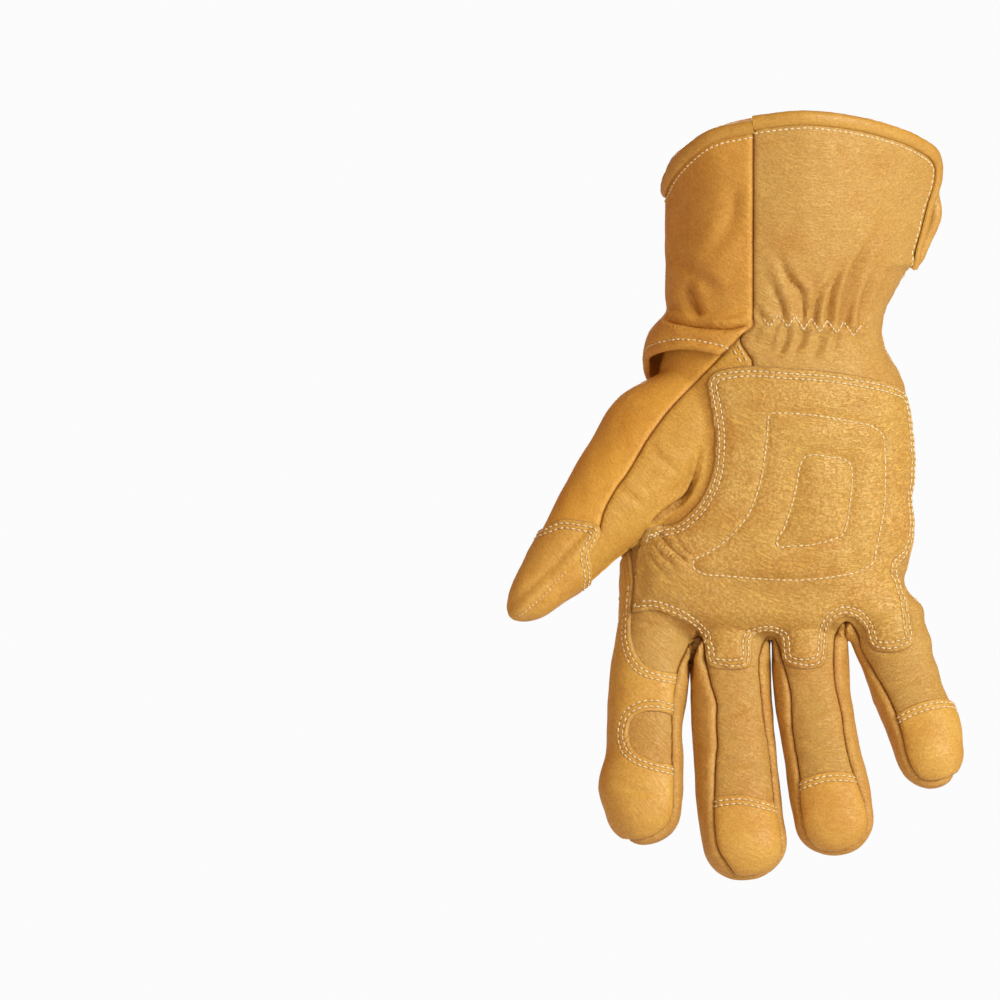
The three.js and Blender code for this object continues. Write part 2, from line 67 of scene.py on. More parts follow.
CUFF_ROWS = HAND_ROWS[:3] + rows_of(HAND_KEYS, [
    (22, 3.4, 0, 48, 33.5, 2.2, 1.8), (12, 0.4, 0, 44.7, 31.6, 2.2, 1.95),
    (6, -0.1, 0, 43.7, 31, 2.2, 2.05), (2, -2, 0, 45.2, 31.6, 2.2, 2.1),
    (-2, -3.6, 0.2, 47.2, 32.4, 2.2, 2.15), (-8, -4, 0.3, 49, 33.2, 2.2, 2.2),
    (-19, -1, 0.5, 50.8, 33.8, 2.3, 2.3), (-40, 1, 1, 57, 34.6, 2.3, 2.3),
])
DIGIT_ROWS = dict(
    index=[
        (-90, -44.5, 1.5, 12, 12), (-108, -48, 1.2, 13.4, 14.2), (-125, -49.3, 0.2, 14.8, 14.6),
        (-142, -51.2, -2, 15, 14.2), (-158, -53, -5.2, 14, 14), (-173, -53, -9, 14.5, 13.8),
        (-185, -54.4, -12.4, 15.9, 13.6), (-192, -53.9, -14.6, 14.8, 13.2),
    ],
    middle=[
        (-90, -18.2, 2, 13, 13), (-108, -18.6, 1.6, 14.6, 14.8), (-126, -18.9, 0.7, 15.9, 15),
        (-144, -18.4, -1.3, 15.4, 14.8), (-168, -17.1, -6.4, 15.4, 14.4), (-192, -15, -14, 16, 14),
        (-206, -12.8, -19.2, 15.8, 13.4),
    ],
    ring=[
        (-90, 8.2, 1.5, 12.4, 12.4), (-108, 10.4, 1.1, 13.6, 14), (-126, 12.5, 0.1, 14.4, 14.4),
        (-144, 13.9, -2.2, 14.5, 14.2), (-168, 17.6, -8, 14.1, 13.8), (-184, 20.6, -13.6, 15.2, 13.4),
        (-196, 22.4, -18.4, 15, 12.8),
    ],
    little=[
        (-86, 32.4, 1, 11, 11), (-102, 36.6, 0.8, 12.8, 12.6), (-118, 41.6, 0, 13.4, 13),
        (-134, 48.1, -2.2, 13.3, 13), (-149, 54.1, -6, 13.4, 12.6), (-160, 58.7, -9.8, 13.7, 12.2),
        (-170, 60.9, -14, 12.6, 11.6),
    ],
    thumb=[
        (-18, -22, -2.5, 13, 15), (-34, -34.6, -5.5, 21, 19.5), (-46, -46, -8.4, 25.4, 20),
        (-57.4, -55.5, -11.2, 23, 19.4), (-70.4, -66.9, -15, 19.9, 17.8),
        (-81.5, -76.6, -18.6, 16.4, 15.6), (-91.8, -85, -21.4, 13.2, 13.4),
        (-101.5, -94.4, -24.2, 9.8, 10.2),
    ],
)
DIGIT_ROWS = {digit: rows_of("z x y wide deep", rows) for digit, rows in DIGIT_ROWS.items()}
TIP_LENGTH = dict(index=13.9, middle=13.7, ring=14, little=13.4, thumb=18.6)
FINGERS = ["index", "middle", "ring", "little"]


def unit(rows):
    """Each row as a direction of length 1."""
    return rows / np.maximum(np.linalg.norm(rows, axis=1), 1e-9)[:, None]


def reach_of(line):
    """How far along a line each of its points is."""
    return np.r_[0, np.cumsum(np.linalg.norm(np.diff(line[:, :3], axis=0), axis=1))]


def smooth_line(corners, count, closed=False):
    """Evenly spaced points on a smooth curve through the given ones."""
    table = np.array(corners, float)
    if closed:
        table = np.vstack([table[-2:], table, table[:3]])
    reach = reach_of(table)
    slope = np.gradient(table, reach, axis=0)
    at = np.linspace(0, reach[-1], count)
    if closed:
        at = np.linspace(reach[2], reach[-3], count, endpoint=False)
    i = np.clip(np.searchsorted(reach, at, side="right") - 1, 0, len(reach) - 2)
    step = (reach[i + 1] - reach[i])[:, None]
    u = (at - reach[i])[:, None] / step
    start = table[i] * (1 + 2 * u) * (1 - u) ** 2 + slope[i] * step * u * (1 - u) ** 2
    end = table[i + 1] * u * u * (3 - 2 * u) + slope[i + 1] * step * u * u * (u - 1)
    return start + end


def ring_faces(count, size):
    """The faces between rings of points that follow one another."""
    faces = []
    for ring in range(count - 1):
        for i in range(size):
            a, b = ring * size + i, ring * size + (i + 1) % size
            faces.append((a, b, b + size, a + size))
    return faces


def joined(shapes):
    """Several shapes as one: all their points, and their faces."""
    points, faces, used = [], [], 0
    for shape_points, shape_faces in shapes:
        points.append(shape_points)
        faces += [tuple(corner + used for corner in face) for face in shape_faces]
        used += len(shape_points)
    return np.vstack(points), faces


def tube(rows, sides, rings, tip=0):
    """A closed tube through the rows, rounded off past the last one where tip is given."""
    keys = list(rows[0])
    table = smooth_line([[row[key] for key in keys] for row in rows], rings)
    column = {key: table[:, i] for i, key in enumerate(keys)}
    centre = np.column_stack([column["x"], column["y"], column["z"]])
    up = unit(-np.gradient(centre, axis=0))
    if "radial" in keys:
        up = np.tile([0.0, 0, 1], (rings, 1))
    size = np.column_stack([column["wide"], column["deep"]]) - SLIM
    if tip:
        past = np.sin(np.linspace(0, math.pi / 2, 9)[1:])
        centre = np.vstack([centre, centre[-1] - up[-1] * (past * (tip - SLIM))[:, None]])
        size = np.vstack([size, size[-1] * np.sqrt(np.maximum(1 - past**2, 1e-4))[:, None]])
        up = np.vstack([up, np.tile(up[-1], (8, 1))])
    across = unit(np.array([1.0, 0, 0]) - up * up[:, :1])
    front = np.cross(across, up)
    turn = np.arange(sides) * 2 * math.pi / sides
    rings = len(centre)
    power = np.full((rings, sides), 2.25)
    if "radial" in keys:
        power = np.where(np.cos(turn) < 0, column["radial"][:, None], column["ulnar"][:, None])
    wide = np.sign(np.cos(turn)) * np.abs(np.cos(turn)) ** (2 / power) * size[:, :1]
    deep = np.sign(np.sin(turn)) * np.abs(np.sin(turn)) ** (2 / power) * size[:, 1:]
    points = centre[:, None] + across[:, None] * wide[..., None] + front[:, None] * deep[..., None]
    points = np.vstack([points.reshape(-1, 3), centre[0], centre[-1]])
    faces = ring_faces(rings, sides)
    for side in range(sides):
        after = (side + 1) % sides
        faces.append((after, side, rings * sides))
        faces.append(((rings - 1) * sides + side, (rings - 1) * sides + after, rings * sides + 1))
    return points, faces


def object_from(name, points, faces):
    mesh = bpy.data.meshes.new(name)
    mesh.from_pydata(np.asarray(points).tolist(), [], faces if isinstance(faces, list) else faces.tolist())
    thing = bpy.data.objects.new(name, mesh)
    bpy.context.scene.collection.objects.link(thing)
    return thing


def pick(thing):
    bpy.ops.object.select_all(action="DESELECT")
    thing.select_set(True)
    bpy.context.view_layer.objects.active = thing


def add_modifier(thing, kind, **settings):
    pick(thing)
    bpy.ops.object.modifier_add(type=kind)
    modifier = thing.modifiers[-1]
    for key, value in settings.items():
        setattr(modifier, key, value)
    bpy.ops.object.modifier_apply(modifier=modifier.name)


def skin_of(tubes):
    """The tubes made one skin of small even faces. Gives its points and its triangles."""
    thing = object_from("skin", *joined(tubes))
    add_modifier(thing, "REMESH", mode="VOXEL", voxel_size=SKIN_MESH, adaptivity=0)
    add_modifier(thing, "SMOOTH", factor=0.5, iterations=7)
    mesh = thing.data
    mesh.calc_loop_triangles()
    spots = np.empty(len(mesh.vertices) * 3)
    mesh.vertices.foreach_get("co", spots)
    normals = np.empty(len(mesh.vertices) * 3)
    mesh.vertex_normals.foreach_get("vector", normals)
    triangles = np.empty(len(mesh.loop_triangles) * 3, int)
    mesh.loop_triangles.foreach_get("vertices", triangles)
    bpy.data.objects.remove(thing)
    spots, normals = spots.reshape(-1, 3), normals.reshape(-1, 3)
    creases = np.zeros(len(spots))
    return np.column_stack([spots + SLIM * normals, normals, creases]), triangles.reshape(-1, 3)


def renewed_normals(skin, faces):
    corners = skin[faces, :3]
    facing = np.cross(corners[:, 1] - corners[:, 0], corners[:, 2] - corners[:, 0])
    total = np.zeros((len(skin), 3))
    for corner in range(3):
        np.add.at(total, faces[:, corner], facing)
    skin[:, 3:6] = unit(total)


def push(points, height):
    """Moves points along their normals."""
    points[:, :3] += points[:, 3:6] * height[:, None]


def ramp(value, low, high):
    """0 below low and 1 above high, with a soft start and end."""
    t = np.clip((value - low) / (high - low), 0, 1)
    return t * t * (3 - 2 * t)


def bell(value, middle, width):
    """1 at the middle, and down to 0 on both sides of it."""
    return np.exp(-(((value - middle) / width) ** 2))


def off_line(skin, line):
    """How far each point is from an open line in X and Z, and where along it the point lies, 0 to 1.

    Points more than a margin outside the line's box count as far away.
    """
    margin, far_away = 12, 99.0
    line = smooth_line(line, 40)
    away = np.full(len(skin), far_away)
    along = np.zeros(len(skin))
    low, high = line.min(axis=0) - margin, line.max(axis=0) + margin
    spots = skin[:, [0, 2]]
    near = np.flatnonzero(((spots > low) & (spots < high)).all(axis=1))
    run = np.diff(line, axis=0)
    rest = spots[near, None] - line[None, :-1]
    t = np.clip((rest * run).sum(axis=2) / (run**2).sum(axis=1), 0, 1)
    reach = np.linalg.norm(rest - t[..., None] * run, axis=2)
    best = reach.argmin(axis=1)
    rows = np.arange(len(near))
    away[near] = reach[rows, best]
    along[near] = (best + t[rows, best]) / len(run)
    return away, along


def fold(skin, faces, rows):
    """Presses folds into one side of a skin, each a valley along a line with a low lip on both sides.

    A row has side, width and depth, then how dark the painted shade in the fold is, which part of its
    length it takes to start and end, and whether its last end stays deep, which may be left out, and the
    line in X and Z. The painted shade is kept in the skin's shade column.
    """
    for side, width, depth, *more, line in rows:
        dark, fade, deep_end = (*more, *(depth, 0.3, False)[len(more):])
        away, along = off_line(skin, line)
        facing = ramp(skin[:, 4] * (1 if side == "back" else -1), 0.05, 0.45)
        strength = ramp(along if deep_end else np.minimum(along, 1 - along), -0.02, fade)
        lip = bell(away, 2 * width, 1.3 * width)
        height = (0.4 * lip - bell(away, 0, width)) * depth * facing * strength
        shaded = bell(away, 0, 0.7 * width) * dark * facing * strength
        skin[:, CREASE_SHADE] = np.maximum(skin[:, CREASE_SHADE], shaded)
        push(skin, height)
    renewed_normals(skin, faces)


def swell(skin, rows):
    """Raises or lowers soft round places. A row has side, centre, half width, half height and rise."""
    for side, x, z, wide, high, rise in rows:
        facing = ramp(skin[:, 4] * (1 if side == "back" else -1), -0.1, 0.5)
        across, down = (skin[:, 0] - x) / wide, (skin[:, 2] - z) / high
        push(skin, rise * np.exp(-(across**2) - down**2) * facing)


def uneven(skin, strength, seed):
    """A slow unevenness all over, as worn leather has."""
    dice = np.random.default_rng(seed)
    height = np.zeros(len(skin))
    for size in (44, 31, 23, 17, 12, 9, 7):
        for _ in range(3):
            turn = dice.normal(size=3)
            turn *= 2 * math.pi / size / np.linalg.norm(turn)
            height += np.sin(skin[:, :3] @ turn + dice.uniform(0, 6.28)) * (size / 40) ** 0.8
    push(skin, strength * height)


hand_tubes = [tube(HAND_ROWS, 96, 120)]
hand_tubes += [tube(rows, 40, 60, TIP_LENGTH[name]) for name, rows in DIGIT_ROWS.items()]
hand_skin, hand_faces = skin_of(hand_tubes)
cuff_skin, cuff_faces = skin_of([tube(CUFF_ROWS, 96, 90)])

# How far the little-finger side stands out or in, by height: in at a waist beside the pad, then out again
LITTLE_SIDE = [
    [-40, 0], [-62, 0], [-67, -0.9], [-72, -0.3], [-80, 0.7], [-86, 0.2], [-91, -1.2], [-96, -2.8],
    [-101, -5], [-105.6, -3.2], [-110, 0.6], [-115, 3.1], [-120, 3.4], [-125, 3.2], [-130, 1.7],
    [-136, 1.4], [-142, 0.3], [-150, -0.4],
]
side_line = smooth_line(LITTLE_SIDE, 120)[::-1]
move = np.interp(hand_skin[:, 2], side_line[:, 0], side_line[:, 1], left=0, right=0)
hand_skin[:, 0] += move * ramp(hand_skin[:, 0], 22, 50)

# The index finger is slimmer at its root, below the gap to the thumb.
move = np.interp(-hand_skin[:, 2], [88, 94, 99, 106, 114, 124, 134], [0, 0.6, 1.7, 2, 1.3, 0.5, 0])
gap = np.interp(-hand_skin[:, 2], [88, 91, 96, 101, 110, 140], [-60, -61, -65, -67.4, -70, -76])
hand_skin[:, 0] += move * ramp(-hand_skin[:, 0], 46, 57) * (hand_skin[:, 0] > gap)
# Its tip is rounder at the thumb side, and the thumb's last joint bends a little towards it.
move = np.interp(-hand_skin[:, 2], [184, 192, 198, 206], [0, 0.9, 1.3, 1.7])
hand_skin[:, 0] += move * ramp(-hand_skin[:, 0], 52, 62)
bend = [0, 0.5, 1.3, 2, 2.3, 2.1, 1.2, 0.3, 0]
move = np.interp(-hand_skin[:, 2], [90, 94, 97, 100, 104, 108, 112, 116, 120], bend)
hand_skin[:, 0] += move * ramp(gap - hand_skin[:, 0], 0, 3)
renewed_normals(hand_skin, hand_faces)

# The wrist is gathered on the palm side: upright pleats fan out above the thread and die out below it.
GATHER_Z = 1.5
spread = 1 + 0.022 * np.abs(hand_skin[:, 2] - GATHER_Z)
pleat = (hand_skin[:, 0] - 14) / spread
puff = np.abs(np.sin(math.pi * (pleat + 0.9 * np.sin(pleat / 4.1)) / 6.7)) ** 0.8 - 0.62
reach_up = bell(np.maximum(hand_skin[:, 2] - GATHER_Z, 0), 0, 17)
reach_down = bell(np.maximum(GATHER_Z - hand_skin[:, 2], 0), 0, 10)
width = ramp(pleat, -24, -16) * (1 - ramp(pleat, 20, 28)) * ramp(-hand_skin[:, 4], 0.2, 0.6)
push(hand_skin, 1.3 * puff * reach_up * reach_down * width)
# Painted shade darkens the valleys between the pleats.
hand_skin[:, CREASE_SHADE] = 1.8 * np.clip(-puff - 0.1, 0, 0.5) * reach_up * reach_down * width
renewed_normals(hand_skin, hand_faces)

# The slit's two sides: height, and how far the palm flap and the back flap stand out past the wrist's side
SLIT_SIDES = [
    [70, 0, 0], [66, 0, -0.5], [64, 0, -0.8], [59.6, -0.3, -1.4], [55.3, -1, -2.2], [52.2, -1.9, -2.2],
    [49, -2.7, -1], [45.6, -3, 0], [41.4, -2.8, -0.2], [38.4, -2.4, -0.7], [35.4, -2, -0.9],
    [32.6, -1.3, -0.6], [30, -0.6, 0.5], [27.6, 1.1, 1.2], [25, 2.2, 0.8], [23.9, 1, 0.1], [23, 0, 0],
]
slit_sides = smooth_line(SLIT_SIDES, 160)[::-1]
move = np.interp(hand_skin[:, 2], slit_sides[:, 0], slit_sides[:, 1], left=0, right=0)
hand_skin[:, 0] += move * ramp(hand_skin[:, 0], 34, 52)
renewed_normals(hand_skin, hand_faces)

swell(hand_skin, [
    ("palm", -26, -34, 14, 20, 1.6), ("palm", 14, -12, 30, 7, 1.2), ("back", -30, -92, 10, 11, 2),
    ("back", -8, -94, 11, 11, 2.4), ("back", 16, -92, 10, 11, 2), ("back", 38, -86, 9, 11, 1.6),
    ("back", -18, -99, 5, 12, -0.8), ("back", 5, -98, 5, 12, -0.8), ("back", 28, -94, 5, 12, -0.8),
])
# The folds also paint shade into their valleys: painted shade along the web crease of the thumb, painted
# shadows in the gaps between the fingers, and a broad band of painted shade across the lower palm.
fold(hand_skin, hand_faces, [
    # The web crease of the thumb, with a dark line of painted shade
    ("palm", 0.9, 2.4, 5.5, 0.6, True, [[-29.6, -38], [-30.2, -44.6], [-31.2, -52.6], [-33.2, -60.6],
        [-37.2, -67.9], [-42.5, -72], [-46.8, -75.2], [-50, -78.6]]),
    ("palm", 1.8, 0.5, 3, 0.5, True, [[-35, -65.6], [-39.6, -70.6], [-44, -74], [-48.4, -77.4]]),
    # A dark line of painted shadow where the index and middle fingers lie together
    ("palm", 1.5, 2.2, 6, 0.25, True, [[-31, -122.6], [-33, -128.4], [-34.3, -133.6], [-34.7, -139.4]]),
    ("palm", 1.2, 0.8, [[-34, -50], [-36.5, -60], [-43, -68]]),
    ("palm", 1.2, 1.7, 2.2, [[-48, -81], [-45, -85], [-41, -89], [-34, -95.4]]),
    ("palm", 1.1, 0.8, 1.5, [[-42.4, -81.6], [-37.6, -88], [-32.4, -92.4]]),
    ("palm", 1.2, 0.8, 1.4, [[-49.5, -84], [-45.5, -90.5], [-39.4, -96]]),
    ("palm", 1.1, 0.6, [[-51, -88.4], [-47.5, -94.5], [-42.6, -99.4]]),
    # A broad band of painted shade across the lower palm
    ("palm", 8, 0.7, 1.7, [[-34, -92], [-20, -98], [0, -102.4], [20, -102], [36, -97]]),
    # Painted shadows at the tops of the three finger gaps
    ("palm", 1, 2.2, 5.5, 0.15, [[27.6, -117], [27, -121], [27.8, -124.5], [28, -129]]),
    ("palm", 1, 2.2, 5.5, 0.15, [[-2.8, -124], [-2.4, -127.4], [-1.8, -131], [-1.4, -134]]),
    ("palm", 1, 2.2, 5.5, 0.15, [[-31, -121], [-31.8, -125], [-33.4, -129], [-34.6, -134]]),
    ("palm", 1.5, 1.9, 1.9, 0.5, True, [[-1.6, 33], [1, 26.4], [5.2, 18.6], [9.3, 13.8], [10.1, 9],
        [10.5, 3]]),
    ("palm", 1.4, 1.5, 1.5, 0.5, True, [[-4, 21], [-2.4, 17], [1.1, 8.7], [2.4, 3]]),
    ("palm", 1.5, 1.9, 1.9, 0.5, True, [[27.6, 28], [19.8, 16], [16, 12], [14.7, 8], [14.4, 2.4]]),
    ("palm", 1.3, 1.3, 1.3, 0.5, True, [[25.5, 24], [21.5, 13.6], [20.2, 3]]),
    ("palm", 1.7, 2.2, 2.2, 0.5, True, [[45, 44], [39, 36], [33.4, 28], [29.6, 20], [27.4, 11], [26.4, 2]]),
    ("palm", 1.5, 2, 2, 0.5, True, [[42.5, 27], [37.4, 17.6], [34.6, 10.3], [33.4, 1.5]]),
    ("palm", 1.6, 1.7, 1.7, 0.5, True, [[-1.4, -12], [2.4, -7], [4, -0.6]]),
    ("palm", 1.5, 1.6, 1.6, 0.5, True, [[5, -10.4], [8.6, -6.4], [10.5, -1.6]]),
    ("palm", 1.6, 1.8, 1.8, 0.5, True, [[13.4, -12.6], [16.6, -7.4], [17.6, -2.6]]),
    ("palm", 1.2, 1, 1, 0.5, True, [[22, -10], [23.8, -3]]),
    ("palm", 1.5, 1.4, 1.4, 0.5, True, [[36.4, -10.6], [34.6, -6], [31.4, -2]]),
    ("palm", 2.6, 0.9, 1.4, [[-11, -6], [-4, -8], [3, -9.4]]),
    ("palm", 1.2, 1.1, [[-8.6, 9], [-6.6, 4.6], [-2.6, 1.3]]),
    ("palm", 1.6, 0.7, [[-52, -44], [-46, -53], [-38, -58]]),
    ("palm", 1.6, 0.8, [[-66, -60], [-58, -68], [-52, -73]]),
    ("back", 1.8, 1.1, [[-36, -30], [-26, -36], [-14, -38]]),
    ("back", 1.8, 1.1, [[-34, -38], [-25, -45], [-15, -50]]),
    ("back", 1.6, 0.8, [[-33, -47], [-24, -56], [-18, -62]]),
    ("back", 1.8, 1.5, 1.5, [[6, -31], [24, -32], [46, -27]]),
    ("back", 1.1, 0.9, [[-49, -27], [-55, -32], [-60, -38]]),
    ("back", 1, 1.1, 1.5, [[-47, -30], [-52, -36], [-55, -43]]),
    ("back", 1, 1.1, 1.5, [[-45, -34], [-50, -41], [-53, -49]]),
    ("back", 1, 0.9, [[-44, -38], [-48, -45], [-50, -53]]),
    ("back", 1.5, 0.8, [[-4, -124], [-9, -118], [-15, -114]]),
    ("back", 1.5, 0.8, [[-4, -124], [0, -117], [2, -112]]),
    ("back", 1.5, 0.7, [[26, -118], [22, -113], [17, -110]]),
    ("back", 1.5, 0.7, [[26, -118], [32, -112], [36, -108]]),
    ("back", 1.5, 0.8, [[-34, -124], [-38, -117], [-41, -112]]),
    ("back", 2.2, 1, [[-66, -34], [-60, -44], [-52, -50]]),
    ("back", 1.8, 0.9, [[-60, -30], [-52, -38], [-46, -42]]),
])
# Creases across the fingers, where they bend, with painted shade in them
for finger, heights in dict(index=[-118, -146, -184], middle=[-134, -152, -172], ring=[-134, -152, -166],
                            little=[-128, -140], thumb=[-74, -84]).items():
    rows = DIGIT_ROWS[finger]
    for number, height in enumerate(heights):
        middle = np.interp(-height, [-row["z"] for row in rows], [row["x"] for row in rows])
        wide = 12 if finger != "thumb" else 15
        tilt = 2.5 * (-1) ** number
        sides = ["palm", "back"] if finger != "thumb" else ["back"]
        for side in sides:
            line = [[middle - wide, height + tilt], [middle, height - 1.6], [middle + wide, height - tilt]]
            fold(hand_skin, hand_faces, [(side, 1.5, 0.75, 0.75, 0.45, line)])
uneven(hand_skin, 0.075, 4)
renewed_normals(hand_skin, hand_faces)

swell(cuff_skin, [
    ("palm", -38, 46, 7, 16, -2), ("palm", -24, 30, 8, 15, 1.1), ("palm", -34, 9, 10, 9, -2.4),
    ("palm", -46, 2, 12, 6, 1.6), ("back", -30, 30, 12, 16, -1.4), ("back", -34, 47, 8, 10, -2),
    ("back", 10, 20, 18, 12, 1), ("back", 36, 44, 12, 18, -1.2),
])
# The cuff's folds paint shade into their valleys as well, most along the hem's fold.
fold(cuff_skin, cuff_faces, [
    ("palm", 1.2, 2.6, 2.6, 0.15, [[-47, 3.4], [-43.4, 2.6], [-30.3, 0.3], [-19.7, -0.2], [-9, 2]]),
    ("palm", 2, 2.3, 2.6, [[-37, 19], [-34, 11], [-30.6, 2.6]]),
    ("palm", 2.6, 1, [[-44, 34], [-34, 22], [-20, 14]]),
    ("palm", 3, 0.8, [[-16, 60], [-20, 40], [-30, 24]]),
    ("back", 1.5, 1.2, 1.6, [[-44, 57], [-38, 50], [-35, 42]]),
    ("back", 1.4, 1.1, 1.5, [[-43, 44], [-37, 44], [-29, 38]]),
    ("back", 1.3, 1, 1.4, [[-38, 36], [-33, 45], [-27, 52]]),
    ("back", 2.6, 1.1, [[-40, 18], [-22, 12], [-4, 14]]),
    ("back", 2.6, 1.1, [[4, 4], [22, 1], [40, 5]]),
    ("back", 2.2, 1, [[-38, -6], [-20, -2], [-2, -5]]),
])
# The back flap of the slit stands out behind the palm flap.
flap = bell(cuff_skin[:, 1], 7, 8) * ramp(cuff_skin[:, 0], 30, 45)
flap *= ramp(cuff_skin[:, 2], 20, 40) * (1 - ramp(cuff_skin[:, 2], 50, 66))
push(cuff_skin, 2 * flap)
move = np.interp(cuff_skin[:, 2], slit_sides[:, 0], slit_sides[:, 2], left=0, right=0)
cuff_skin[:, 0] += move * ramp(cuff_skin[:, 0], 34, 52)
# Below the slit the cuff lies close to the wrist at the little-finger side.
move = np.interp(-cuff_skin[:, 2], [-14, -6, -2, 2, 8, 13, 19, 24], [0, 0.9, 1, 1.8, 1.9, 1.5, 1.1, 1.1])
cuff_skin[:, 0] -= move * ramp(cuff_skin[:, 0], 25, 42) * (1 - ramp(cuff_skin[:, 1], 5, 13))
# Its thumb side draws in a little below the binding.
move = np.interp(cuff_skin[:, 2], [20, 28, 38, 45, 52, 58, 63, 72], [0, 0.3, 0.7, 1, 1.6, 1.3, 0.8, 0.6])
cuff_skin[:, 0] += move * ramp(-cuff_skin[:, 0], 28, 44)
uneven(cuff_skin, 0.1, 9)
renewed_normals(cuff_skin, cuff_faces)


# Leather finish
# Smooth side leather, tan to amber, with a pebbled grain, fine wrinkles and a rubbed, waxy surface, with
# painted highlights on the pebbles' tops and painted light and shade on its ripples.
# Its cut edges are paler, and its seams gather dirt and painted shade, its creases painted shade, and its
# stitch rows a painted shadow of the thread. One look is shared by all the pieces.
STITCH_ROWS = (2, 4)  # how far the two rows of stitches are from a patch's raw edge


def colour(*levels):
    """Red, green and blue from 0 to 255 as a colour for a shader."""
    return (*(((level / 255 + 0.055) / 1.055) ** 2.4 for level in levels), 1)


def put(tree, kind, inputs=None, **settings):
    """A shader node with its settings, and its inputs given as values or as other nodes' outputs."""
    made = tree.nodes.new(kind)
    for key, value in settings.items():
        setattr(made, key, value)
    for key, value in (inputs or {}).items():
        if isinstance(value, bpy.types.NodeSocket):
            tree.links.new(value, made.inputs[key])
        else:
            made.inputs[key].default_value = value
    return made


def work_out(tree, operation, *values):
    return put(tree, "ShaderNodeMath", dict(enumerate(values)), operation=operation).outputs[0]


def fit(tree, value, low, high, to_low=0.0, to_high=1.0):
    inputs = {"Value": value, "From Min": low, "From Max": high, "To Min": to_low, "To Max": to_high}
    return put(tree, "ShaderNodeMapRange", inputs, interpolation_type="SMOOTHSTEP").outputs[0]


def blend_colours(tree, amount, first, second, kind="MIX"):
    inputs = {0: amount, 6: first, 7: second}
    return put(tree, "ShaderNodeMix", inputs, data_type="RGBA", blend_type=kind).outputs[2]


